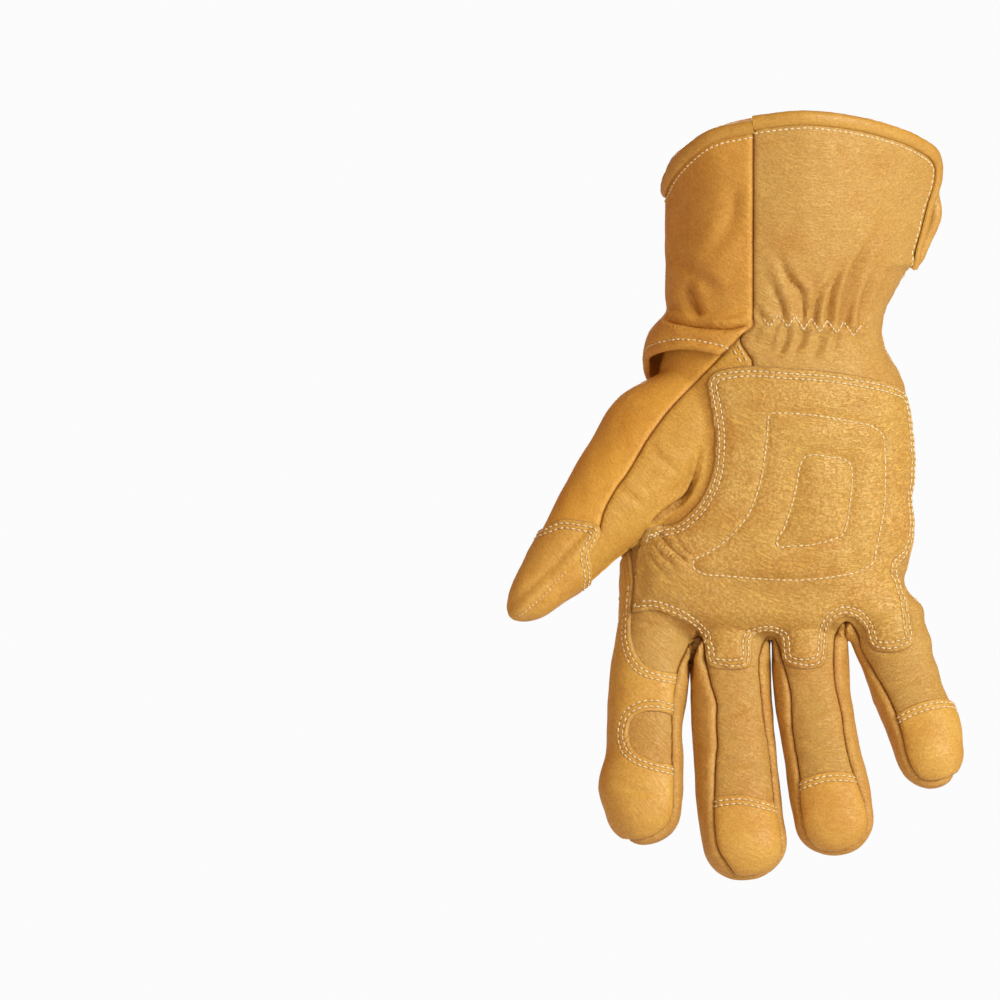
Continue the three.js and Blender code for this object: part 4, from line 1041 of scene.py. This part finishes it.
# Its pebbles take the strongest painted highlights.
pad_finish = leather_finish("pad leather", (203, 162, 77), (190, 128, 42), grain=1.25,
                            grain_depth=0.12, wrinkle=0.12, roughness=0.44, shine=0.42)
points, faces = part_of(hand, hand_faces, ~of_back & ~of_strip & ~cut_off)
pad_line = smooth_line(PAD_EDGE, 420, closed=True)
covered = -larger(-inside_by(points, pad_line), behind_middle(points) + 7.5, 3)
points, pad_faces = trimmed(points, faces, covered)
outer_d = inside_by(points, smooth_line(QUILT_OUTER, 300, closed=True))
inner_d = inside_by(points, smooth_line(QUILT_INNER, 200, closed=True))
row = np.minimum(np.abs(outer_d), np.abs(inner_d))
quilted = 1.1 * (1 - np.exp(-row / 3)) - 0.35 * bell(row, 0, 0.8)
quilted += 0.7 * ramp(inner_d, 0, 9) - 0.3 * ramp(-outer_d, 0, 8)
quilted *= ramp(inside_by(points, pad_line), 3, 9)
# Towards the gap between thumb and index finger its edge is turned under, without stitches.
turned = ramp(-points[:, 0], 48.5, 51) * ramp(points[:, 2], -111, -108) * (1 - ramp(points[:, 2], -86, -83))
pad, pad_outer, pad_edge = patch("palm_pad_leather", points, pad_faces, pad_finish, thick=1.5,
                                 extra=quilted, sewn=1 - turned)
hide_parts("palm_pad")

# Finger reinforcements
# Second layers of smooth leather, sewn on with double rows. One covers the index finger's thumb side, its
# tip and a band across its palm side. The other fingers have one on each side of the tip.
patch_finish = leather_finish("patch leather", (214, 170, 79), (194, 132, 46), grain=0.9,
                              grain_depth=0.05, wrinkle=0.06, roughness=0.44)
INDEX_EDGE = [
    [-57, -101.5], [-57.6, -107], [-58.2, -114], [-58.6, -120], [-57.9, -125.6], [-55.8, -131.2],
    [-52.6, -134.8], [-47.6, -136.8], [-42, -137.8], [-34, -138],
]
INDEX_WINDOW = [
    [-34, -156.6], [-41.9, -154.9], [-48, -153.3], [-54, -153.8], [-57.6, -155.8], [-59.2, -159.2],
    [-59.5, -163], [-58.4, -167.2], [-55.6, -170.2], [-51, -172.2], [-42, -174.6], [-34, -176],
]
INDEX_BACK = [
    [-58, -89], [-59.8, -97], [-61.2, -108], [-61.6, -124], [-62.4, -145], [-63.6, -165], [-64.4, -180],
    [-63, -190], [-56, -195.6], [-47, -196.4], [-34, -195],
]
below_tip = [[-34, -FAR], [-90, -FAR]]
index_front = np.vstack([[[-90, -88], [-58.6, -88.6]], smooth_line(INDEX_EDGE, 70),
                         smooth_line(INDEX_WINDOW, 90), below_tip])
index_back = np.vstack([[[-90, -88], [-59.4, -88]], smooth_line(INDEX_BACK, 120), below_tip])
centres = hand[hand_faces].mean(axis=1)
on_index = (centres[:, 0] < -32) & (centres[:, 2] < -84)
points, faces = part_of(hand, hand_faces, ~of_thumb & ~of_strip & on_index)
covered = inside_either(points, index_front, index_back, ramp(behind_middle(points), -3, 3))
points, index_faces = trimmed(points, faces, covered)
index_patch, index_outer, index_edge = patch("index_patch_leather", points, index_faces, patch_finish,
                                             seam_deep=0.9)
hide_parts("index_patch")

TIP_EDGES = dict(
    middle=dict(palm=[[-34, -189.4], [-25.2, -187.4], [-15.2, -186.4], [-0.8, -190], [6, -192]],
                back=[[-34, -199], [-22, -197.4], [-10, -196.8], [6, -198]]),
    ring=dict(palm=[[2, -183.6], [9.2, -180.6], [19.2, -177.4], [30.8, -177.8], [40, -179.6]],
              back=[[2, -190], [14, -187.8], [26, -187.2], [42, -189]]),
    little=dict(palm=[[36, -160], [46.7, -154.6], [54.4, -150.6], [60.5, -148.7], [66.6, -148.4],
                      [70, -149.4], [80, -152]],
                back=[[38, -164], [50, -161], [62, -157.4], [80, -151]]),
)
tip_layers = []
for finger, edges in TIP_EDGES.items():
    for side, line in edges.items():
        near = np.abs(centres[:, 0] - finger_at(finger, centres[:, 2], "x")) < 19
        near &= centres[:, 2] < -135
        near &= (of_back if side == "back" else ~of_back) & ~of_strip & ~of_thumb
        points, faces = part_of(hand, hand_faces, near)
        line = smooth_line(line, 60)
        below = np.interp(points[:, 0], line[:, 0], line[:, 1]) - points[:, 2]
        points, faces = trimmed(points, faces, below)
        name = finger + "_tip_" + side + "_leather"
        piece, outer, edge = patch(name, points, faces, patch_finish, thick=0.95)
        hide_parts(finger + "_tip_patch_" + side)
        tip_layers.append((outer, faces, edge))

# Thumb patch
# One piece of the same leather covers the thumb's tip and its side, up into the gap to the index finger. It
# is cut from the skin of the whole thumb, over both panels, and sewn on with double rows.
THUMB_PATCH_PALM = [
    [-130, -100], [-106, -92], [-98.6, -84.8], [-92, -79.6], [-86, -76.6], [-79, -77], [-71, -79.6],
    [-70.6, -82.2], [-72.8, -87.4], [-74.8, -91.2], [-74.2, -94.6], [-74.2, -98.6], [-75.6, -104],
    [-76.4, -114], [-76, -130],
]
THUMB_PATCH_BACK = [
    [-57.4, -87], [-50.4, -73], [-54.4, -68], [-65, -66.6], [-75, -69], [-86, -75], [-97, -84],
    [-112, -97], [-130, -104],
]
front = np.vstack([smooth_line(THUMB_PATCH_PALM, 160), [[-130, -130]]])
behind = np.vstack([smooth_line(THUMB_PATCH_BACK, 120), [[-130, -FAR], [-60, -FAR], [-60, -130]]])
covered = inside_either(thumb, front, behind, ramp(thumb_front(thumb), 8, 12))
points, thumb_patch_faces = trimmed(thumb, thumb_faces, covered)
# The diagonal seam runs on under the tip as a rounded ridge, with a row of stitches beside it.
TIP_SEAM = [[-72.6, -81.6], [-79.6, -89.6], [-90.4, -100.8], [-105, -114.6]]
from_ridge, _ = off_line(points, TIP_SEAM)
ridge = 0.9 * bell(from_ridge, 0, 2) - 0.5 * bell(from_ridge, 3.6, 1.4)
ridge *= ramp(-points[:, 4], 0, 0.5)
thumb_patch, thumb_patch_outer, thumb_patch_edge = patch(
    "thumb_patch_leather", points, thumb_patch_faces, patch_finish, extra=ridge)
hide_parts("thumb_patch")

# Knuckle band
# A padded band of smooth leather lies over the knuckles, sewn down with two rows of stitches. It is cut
# from the skin of the hand's back, and its filling swells between its edges.
KNUCKLE_BAND = [
    [66, -56], [52, -58], [34, -65], [12, -69], [-14, -69.6], [-34, -71.6], [-45, -77], [-50, -87],
    [-48.4, -99], [-41, -108.4], [-24, -113.4], [0, -115.4], [24, -116], [46, -114.6], [66, -111],
    [90, -104], [90, -60],
]
band_finish = leather_finish("band leather", (223, 177, 92), (206, 148, 62), grain=0.9,
                             grain_depth=0.03, wrinkle=0.04, roughness=0.4)
points, faces = part_of(hand, hand_faces, ~of_thumb & of_back & ~of_strip & ~hidden)
covered = inside_by(points, smooth_line(KNUCKLE_BAND, 300, closed=True))
points, band_faces = trimmed(points, faces, covered)
band, band_outer, band_edge = patch("knuckle_band_leather", points, band_faces, band_finish, puff=2.2,
                                    seam_deep=1.6, slope=7)
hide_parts("knuckle_band")

# Cuff
# The back of the gauntlet cuff goes round the thumb side to an upright seam on the palm side. Its lower end
# stands over the hand as a rolled hem with one row of stitches.
cuff, cuff_marks = cuff_skin, np.zeros((len(cuff_faces), 0), bool)
front_edge = -10 + 1.04 * np.minimum(cuff[:, 2] - 1, 0)
palm_side = np.minimum(front_edge - cuff[:, 0], 4 - cuff[:, 1])
slit = cuff[:, 1] - SLIT_Y - slit_half(cuff[:, 2])
cuff, cuff_faces, cuff_marks = cut(cuff, cuff_faces, cuff_marks, np.maximum(palm_side, slit))
lower = ramp(-cuff[:, 1], 10, 25) * bell(cuff[:, 0], -10, 14)
over = above_rim(cuff) + 1.4 * lower
slit = SLIT_Y + slit_half(cuff[:, 2]) - cuff[:, 1] - below_slit(cuff[:, 2])
slit = np.where(cuff[:, 0] > 5, slit, -NOT_CUT)
rim_column = cuff.shape[1]
cuff, cuff_faces, cuff_marks = cut(cuff, cuff_faces, cuff_marks, larger(over, slit, 4.5))
hem_column = cuff.shape[1]
cuff, cuff_faces, cuff_marks = cut(cuff, cuff_faces, cuff_marks, above_hem(cuff))
of_cuff, over_rim, over_hem = cuff_marks.T.astype(bool)
cuff, cuff_faces = part_of(cuff, cuff_faces, of_cuff & ~over_rim & over_hem)
edges = open_edges(cuff_faces)
at_hem, at_rim = lie_on(cuff, edges, hem_column), lie_on(cuff, edges, rim_column)
from_hem, from_rim = away_from(cuff, edges[at_hem]), away_from(cuff, edges[at_rim])
from_seam = away_from(cuff, edges[~at_hem & ~at_rim])
cuff_finish = leather_finish("cuff leather", (210, 158, 66), (188, 124, 40), grain=0.8,
                             grain_depth=0.04, wrinkle=0.07, roughness=0.5)
up = 0.4 - turned_in(from_seam, 1.2) + pucker(cuff, from_hem - 1.5, 0.3)
roll = 1.2 * bell(from_hem, 1.6, 1.5) - 0.5 * bell(from_hem, 4, 0.8)
roll += 0.35 * bell(from_hem, 6, 1.4)
up += roll * (1 - ramp(cuff[:, 0], 20, 40) * (1 - ramp(cuff[:, 1], 3, 14)))
down = 0.9 * bell(from_hem, 0, 2) - 1.6
piece, cuff_outer = sew("cuff_back_leather", cuff, cuff_faces, up, down, from_seam,
                        np.full(len(cuff), FAR_OFF), cuff_finish)
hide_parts("cuff_back_panel")

# Cuff binding
# A narrow strip of thin smooth leather is folded over the cuff's upper edge and both sides of the slit. It
# is swept along the panels' edges with the section of a folded strip.
BINDING_SECTION = [
    [-0.2, -4.1], [0.35, -4.4], [0.95, -4.1], [1.5, -3.1], [1.8, -1.6], [1.6, -0.1], [0.9, 0.9],
    [-0.3, 1.4], [-1.5, 1.3], [-2.6, 0.6], [-3.1, -0.6], [-3.2, -2.3], [-3.1, -4], [-2.6, -4.3],
    [-2, -4], [-1.9, -1], [-1.2, -0.1], [-0.4, 0], [0.05, -0.8],
]


def end_to_end(points, edges):
    """Edges joined end to end, as rows of the points."""
    after = dict(edges.tolist())
    line = [next(iter(set(after) - set(after.values())))]
    while line[-1] in after:
        line.append(after[line[-1]])
    return points[line]


def points_at(line, where):
    """The points and normals of a line at these distances from its start."""
    reach = reach_of(line)
    return np.column_stack([np.interp(where, reach, column) for column in line[:, :6].T])


def smoothed(line, times=8):
    for _ in range(times):
        line[1:-1] = (line[:-2] + 2 * line[1:-1] + line[2:]) / 4
    return line


def solid_faces(count, size):
    """The faces of a solid made of rings of points, with flat ends."""
    ends = [tuple(range(size))[::-1], tuple(range((count - 1) * size, count * size))]
    return ends + ring_faces(count, size)


def bind(name, points, faces, column, lift, finish):
    """The folded strip along a panel's edge where the named column of its points is 0."""
    edges = open_edges(faces)
    line = end_to_end(points, edges[lie_on(points, edges, column)])
    reach = reach_of(line)[-1]
    at = np.linspace(0, reach, int(reach / 1.3))
    line = smoothed(points_at(line, at), 6)
    normal = unit(line[:, 3:])
    upward = unit(np.cross(unit(np.gradient(line[:, :3], axis=0)), normal))
    section = np.array(BINDING_SECTION)
    ripple = 0.04 * np.sin(at * 1.1) + 0.06 * np.sin(at * 0.37 + 1)
    rings = []
    for number in range(len(line)):
        out = section[:, :1] + np.where(section[:, :1] > 0, lift + ripple[number], 0)
        up = section[:, 1:] + ripple[number] * 0.8
        rings.append(line[number, :3] + out * normal[number] + up * upward[number])
    faces = [face[::-1] for face in solid_faces(len(rings), len(section))]
    piece = object_from(name, np.vstack(rings) * MM, faces)
    piece.data.materials.append(finish)
    keep_values(piece, seam=FAR_OFF, edge=FAR_OFF)
    pick(piece)
    bpy.ops.object.mode_set(mode="EDIT")
    bpy.ops.mesh.select_all(action="SELECT")
    bpy.ops.mesh.normals_make_consistent(inside=False)
    bpy.ops.object.mode_set(mode="OBJECT")
    bpy.ops.object.shade_smooth_by_angle(angle=SMOOTH_ANGLE)
    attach(piece, "root")
    return piece


binding_finish = leather_finish("binding leather", (199, 154, 68), (186, 130, 46), grain=0.8,
                                grain_depth=0.015, wrinkle=0.05, roughness=0.36)
piece = bind("cuff_binding_palm_leather", palm_points, palm_faces, palm_rim_column, 0.1, binding_finish)
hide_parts("cuff_binding_palm")
piece = bind("cuff_binding_back_leather", cuff, cuff_faces, rim_column, 0.5, binding_finish)
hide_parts("cuff_binding_back")

# Piping
# A thin cord covered in leather is sewn into the seam between the back of the hand and the thumb side, and
# runs on down the index finger beside its patch. Short rolled welts cross the tops of the finger gaps.
CORD_SIDES = 10
OUTSIDE_Y = 150  # in front of the glove, or behind it


def landed(line, tree, from_back, lift):
    """A line in X and Z laid on the surface: its points, with the surface's normals."""
    rows = []
    start, aim = (OUTSIDE_Y, -1) if from_back else (-OUTSIDE_Y, 1)
    for x, z in line:
        spot, normal, _, _ = tree.ray_cast(Vector((x, start, z)), Vector((0, aim, 0)))
        if spot is not None:
            rows.append([*(spot + normal * lift), *normal])
    return np.array(rows)


def square_to(along, normal):
    """Normals turned square to the directions of a line, and the directions square to both."""
    normal = unit(normal - along * (normal * along).sum(axis=1)[:, None])
    return normal, np.cross(along, normal)


def cord_along(line, radius):
    """A round cord along a line of points and normals, with rounded ends."""
    normal, side = square_to(unit(np.gradient(line[:, :3], axis=0)), line[:, 3:6])
    turn = np.arange(CORD_SIDES) * 2 * math.pi / CORD_SIDES
    size = np.full(len(line), radius)
    size[[0, -1]] *= 0.35
    size[[1, -2]] *= 0.8
    rings = [line[i, :3] + size[i] * (np.cos(turn)[:, None] * normal[i] + np.sin(turn)[:, None] * side[i])
             for i in range(len(line))]
    return np.vstack(rings), solid_faces(len(rings), CORD_SIDES)


def tree_of(points, faces):
    return BVHTree.FromPolygons(points[:, :3].tolist(), faces.tolist())


whole = tree_of(hand, hand_faces)
path = [
    [-45.6, -14], [-44.8, -24], [-41, -44], [-44, -58], [-48, -70], [-54.5, -83], [-58.6, -92],
    [-60.4, -100], [-61.5, -110], [-61.8, -124], [-62.6, -145], [-63.8, -165], [-64.6, -180],
    [-63.4, -189.4], [-60, -194.6],
]
cords = [cord_along(smoothed(landed(smooth_line(path, 150), whole, True, 0.6)), 1.2)]
for x, z in ([-34.4, -118.4], [-3.6, -120.4], [26, -113.8]):
    arch = [[x - 3.6, z - 10], [x - 2.6, z - 4], [x, z], [x + 2.6, z - 4], [x + 3.6, z - 10]]
    cords.append(cord_along(smoothed(landed(smooth_line(arch, 22), whole, True, 0.1), 3), 1.0))
points, faces = joined(cords)
piping = object_from("piping", points * MM, faces)
piping_finish = leather_finish("piping leather", (232, 181, 84), (214, 154, 60), grain=0.8,
                               grain_depth=0.01, wrinkle=0.03, roughness=0.4)
piping.data.materials.append(piping_finish)
keep_values(piping, seam=FAR_OFF, edge=FAR_OFF)
piping.data.shade_smooth()
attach(piping, "root")

# Stitching
# Thick cream thread, in stitches about 2 mm long, each sunk at both ends. Double rows hold the patches, one
# row each holds the binding and the hem, and a zigzag row gathers the wrist.
THREAD_SIDES = 5
SHORTEST_ROW = 6  # shorter rows are left out
stitches = []


def lines_where(points, faces, value, level):
    """The lines on a surface where a value has the given level."""
    value = value - level + 1e-9
    edges = np.sort(edges_of(faces), axis=1)
    crossing = (value[edges[:, 0]] > 0) != (value[edges[:, 1]] > 0)
    face_of = np.tile(np.arange(len(faces)), 3)[crossing]
    kinds, which = np.unique(edges[crossing], axis=0, return_inverse=True)
    if not len(kinds):
        return []
    t = (value[kinds[:, 0]] / (value[kinds[:, 0]] - value[kinds[:, 1]]))[:, None]
    spots = points[kinds[:, 0], :6] * (1 - t) + points[kinds[:, 1], :6] * t
    pairs = which.ravel()[np.argsort(face_of, kind="stable")].reshape(-1, 2)
    links = {}
    for a, b in pairs.tolist():
        links.setdefault(a, []).append(b)
        links.setdefault(b, []).append(a)
    lines, done = [], set()
    for start in [spot for spot in links if len(links[spot]) == 1] + list(links):
        if start in done:
            continue
        line = [start]
        done.add(start)
        while True:
            after = [spot for spot in links[line[-1]] if spot not in done]
            if not after:
                break
            line.append(after[0])
            done.add(after[0])
        if len(line) > 2 and start in links[line[-1]]:
            line.append(start)
        lines.append(spots[line])
    return lines


def stitch(line, pitch=2.45, length=2.0, thick=0.33):
    """A row of stitches along a line of points and normals."""
    reach = reach_of(line)[-1]
    count = int(reach / pitch)
    if count < 1:
        return
    at = (np.arange(count) + 0.5) * reach / count
    centre, ahead, behind = [points_at(line, where) for where in (at, at + length / 2, at - length / 2)]
    along = unit(ahead[:, :3] - behind[:, :3])
    normal, side = square_to(along, centre[:, 3:6])
    turn = np.arange(THREAD_SIDES) * 2 * math.pi / THREAD_SIDES
    rings = []
    for part, height, size in ((-0.5, -0.3, 0.35), (-0.3, 0.16, 1), (0.3, 0.16, 1), (0.5, -0.3, 0.35)):
        middle = centre[:, :3] + along * part * length + normal * height
        round_it = normal[:, None] * np.cos(turn)[:, None] + side[:, None] * np.sin(turn)[:, None]
        rings.append(middle[:, None] + round_it * thick * size)
    pattern = solid_faces(len(rings), THREAD_SIDES)
    stitches.extend((one, pattern) for one in np.stack(rings, axis=1).reshape(count, -1, 3))


def stitch_where(points, faces, value, *levels, leave_out=None):
    """Rows of stitches where the value has the levels, but for a box on the palm side that is left out."""
    for level in levels:
        for line in lines_where(points, faces, value, level):
            parts = [line]
            if leave_out:
                (x, z), (to_x, to_z) = leave_out
                out = (line[:, 0] > x) & (line[:, 0] < to_x) & (line[:, 2] > z) & (line[:, 2] < to_z)
                out &= line[:, 4] < 0.35
                parts = [part[1:] for part in np.split(line, np.flatnonzero(np.diff(out.astype(int))) + 1)
                         if not out[line[:, 0] == part[0, 0]].all()]
            for part in parts:
                if reach_of(part)[-1] > SHORTEST_ROW:
                    stitch(part)


stitch_where(pad_outer, pad_faces, pad_edge, *STITCH_ROWS, leave_out=((-70, -109), (-51, -86)))
stitch_where(pad_outer, pad_faces, outer_d, 0)
stitch_where(pad_outer, pad_faces, inner_d, 0)
for row, low in zip(STITCH_ROWS, (-102, -113)):
    stitch_where(index_outer, index_faces, index_edge, row, leave_out=((-75, low), (-50, -80)))
stitch_where(thumb_patch_outer, thumb_patch_faces, thumb_patch_edge, *STITCH_ROWS)
stitch_where(band_outer, band_faces, band_edge, 2.4, 4.4)
for outer, faces, edge in tip_layers:
    stitch_where(outer, faces, edge, *STITCH_ROWS)
BINDING_ROW, HEM_ROW = 5.7, 4  # how far in from the edge
edges = open_edges(palm_faces)
from_palm_rim = away_from(palm_points, edges[lie_on(palm_points, edges, palm_rim_column)])
stitch_where(palm_outer, palm_faces, from_palm_rim, BINDING_ROW)
stitch_where(cuff_outer, cuff_faces, from_rim, BINDING_ROW)
stitch_where(cuff_outer, cuff_faces, from_hem, HEM_ROW)

palm_tree = tree_of(palm_outer, palm_faces)
gathers = [[-6, 3.6], [-3.2, 0.4], [0, 5.2], [4, 0.4], [6.8, 4.4], [10.4, -0.8], [13.2, 3.6], [16.8, -1.6],
           [19.6, 2.8], [23.6, -2], [26.4, 2.4], [30, -3.2], [33.2, 0.8]]
for start, end in zip(gathers, gathers[1:]):
    leg = np.linspace(start, end, 9)
    stitch(landed(leg, palm_tree, False, 0.1), 1.7, 1.5, 0.34)
thumb_tree = tree_of(np.vstack([thumb_palm_outer, thumb_back_outer]),
                     np.vstack([thumb_palm_faces, thumb_back_faces + len(thumb_palm_outer)]))
for start, end in (([-17.8, -8.4], [-14.4, -14.2]), ([-15.9, -6.8], [-12.2, -13.6])):
    stitch(landed(np.linspace(start, end, 12), thumb_tree, False, 0.1))
tip_tree = tree_of(thumb_patch_outer, thumb_patch_faces)
ridge_row = smooth_line([[-84.4, -97], [-94, -107.4], [-103.6, -115.4]], 40)
stitch(landed(ridge_row, tip_tree, False, 0.05), 1.8, 1.2, 0.26)
points, faces = joined(stitches)
thread = object_from("stitching", points * MM, faces)
thread_finish = bpy.data.materials.new("thread")
thread_finish.use_nodes = True
tree = thread_finish.node_tree
place = put(tree, "ShaderNodeTexCoord").outputs["Object"]
speck = put(tree, "ShaderNodeTexNoise", {"Vector": place, "Scale": 900.0, "Detail": 2.0}).outputs["Fac"]
cream = blend_colours(tree, fit(tree, speck, 0.35, 0.7), colour(240, 226, 186), colour(214, 190, 138))
tree.links.new(cream, tree.nodes["Principled BSDF"].inputs["Base Color"])
rough = fit(tree, speck, 0.3, 0.7, 0.5, 0.7)
tree.links.new(rough, tree.nodes["Principled BSDF"].inputs["Roughness"])
thread.data.materials.append(thread_finish)
thread.data.shade_smooth()
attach(thread, "root")

# Stage
# A pale floor and soft studio light: a large key lamp in front of the palm, to the right, a weak one to the
# left, and one behind. The camera sees the floor and all that is round the glove as plain white.
WHITE = (0.97, 0.97, 0.97, 1)


def white_to_camera(tree, usual, white, end):
    """Ends a shader tree so that the camera sees plain white where everything else meets the usual look."""
    seen = put(tree, "ShaderNodeLightPath").outputs["Is Camera Ray"]
    both = put(tree, "ShaderNodeMixShader", {0: seen, 1: usual.outputs[0], 2: white.outputs[0]})
    tree.links.new(both.outputs[0], tree.nodes[end].inputs["Surface"])


bpy.ops.mesh.primitive_plane_add(size=20, location=(0, 0, -0.3))
floor = bpy.context.object
floor.name = "floor"
paper = bpy.data.materials.new("paper")
paper.use_nodes = True
tree = paper.node_tree
plain = tree.nodes["Principled BSDF"]
plain.inputs["Base Color"].default_value = (0.85, 0.85, 0.85, 1)
plain.inputs["Roughness"].default_value = 0.9
white_to_camera(tree, plain, put(tree, "ShaderNodeEmission", {"Color": WHITE}), "Material Output")
floor.data.materials.append(paper)


def lamp(name, place, size, power, tint=(1, 1, 1)):
    bpy.ops.object.light_add(type="AREA", location=place)
    light = bpy.context.object
    light.name = name
    light.data.size = size
    light.data.energy = power
    light.data.color = tint
    aim = Vector((0, 0, -0.06)) - light.location
    light.rotation_euler = aim.to_track_quat("-Z", "Y").to_euler()


lamp("key", (1.6, -1.75, 0.7), 1.3, 56, (0.95, 1, 0.97))
lamp("fill", (-0.9, -2.6, 0.3), 1.4, 5)
lamp("back key", (0.1, 2.5, 0.5), 1.0, 26)

world = bpy.data.worlds.new("studio")
bpy.context.scene.world = world
world.use_nodes = True
tree = world.node_tree
soft = tree.nodes["Background"]
soft.inputs["Color"].default_value = (0.475, 0.265, 0.158, 1)
white_to_camera(tree, soft, put(tree, "ShaderNodeBackground", {"Color": WHITE}), "World Output")

# In metres, but for the sensor, which is in millimetres
SENSOR, DISTANCE, PICTURE_WIDTH = 36, 12, 0.4
bpy.ops.object.camera_add(location=(-0.1108, -DISTANCE, -0.0688), rotation=(math.pi / 2, 0, 0))
camera = bpy.context.object
camera.data.sensor_width = SENSOR
camera.data.lens = SENSOR * DISTANCE / PICTURE_WIDTH
bpy.context.scene.camera = camera
bpy.context.scene.view_settings.view_transform = "Standard"
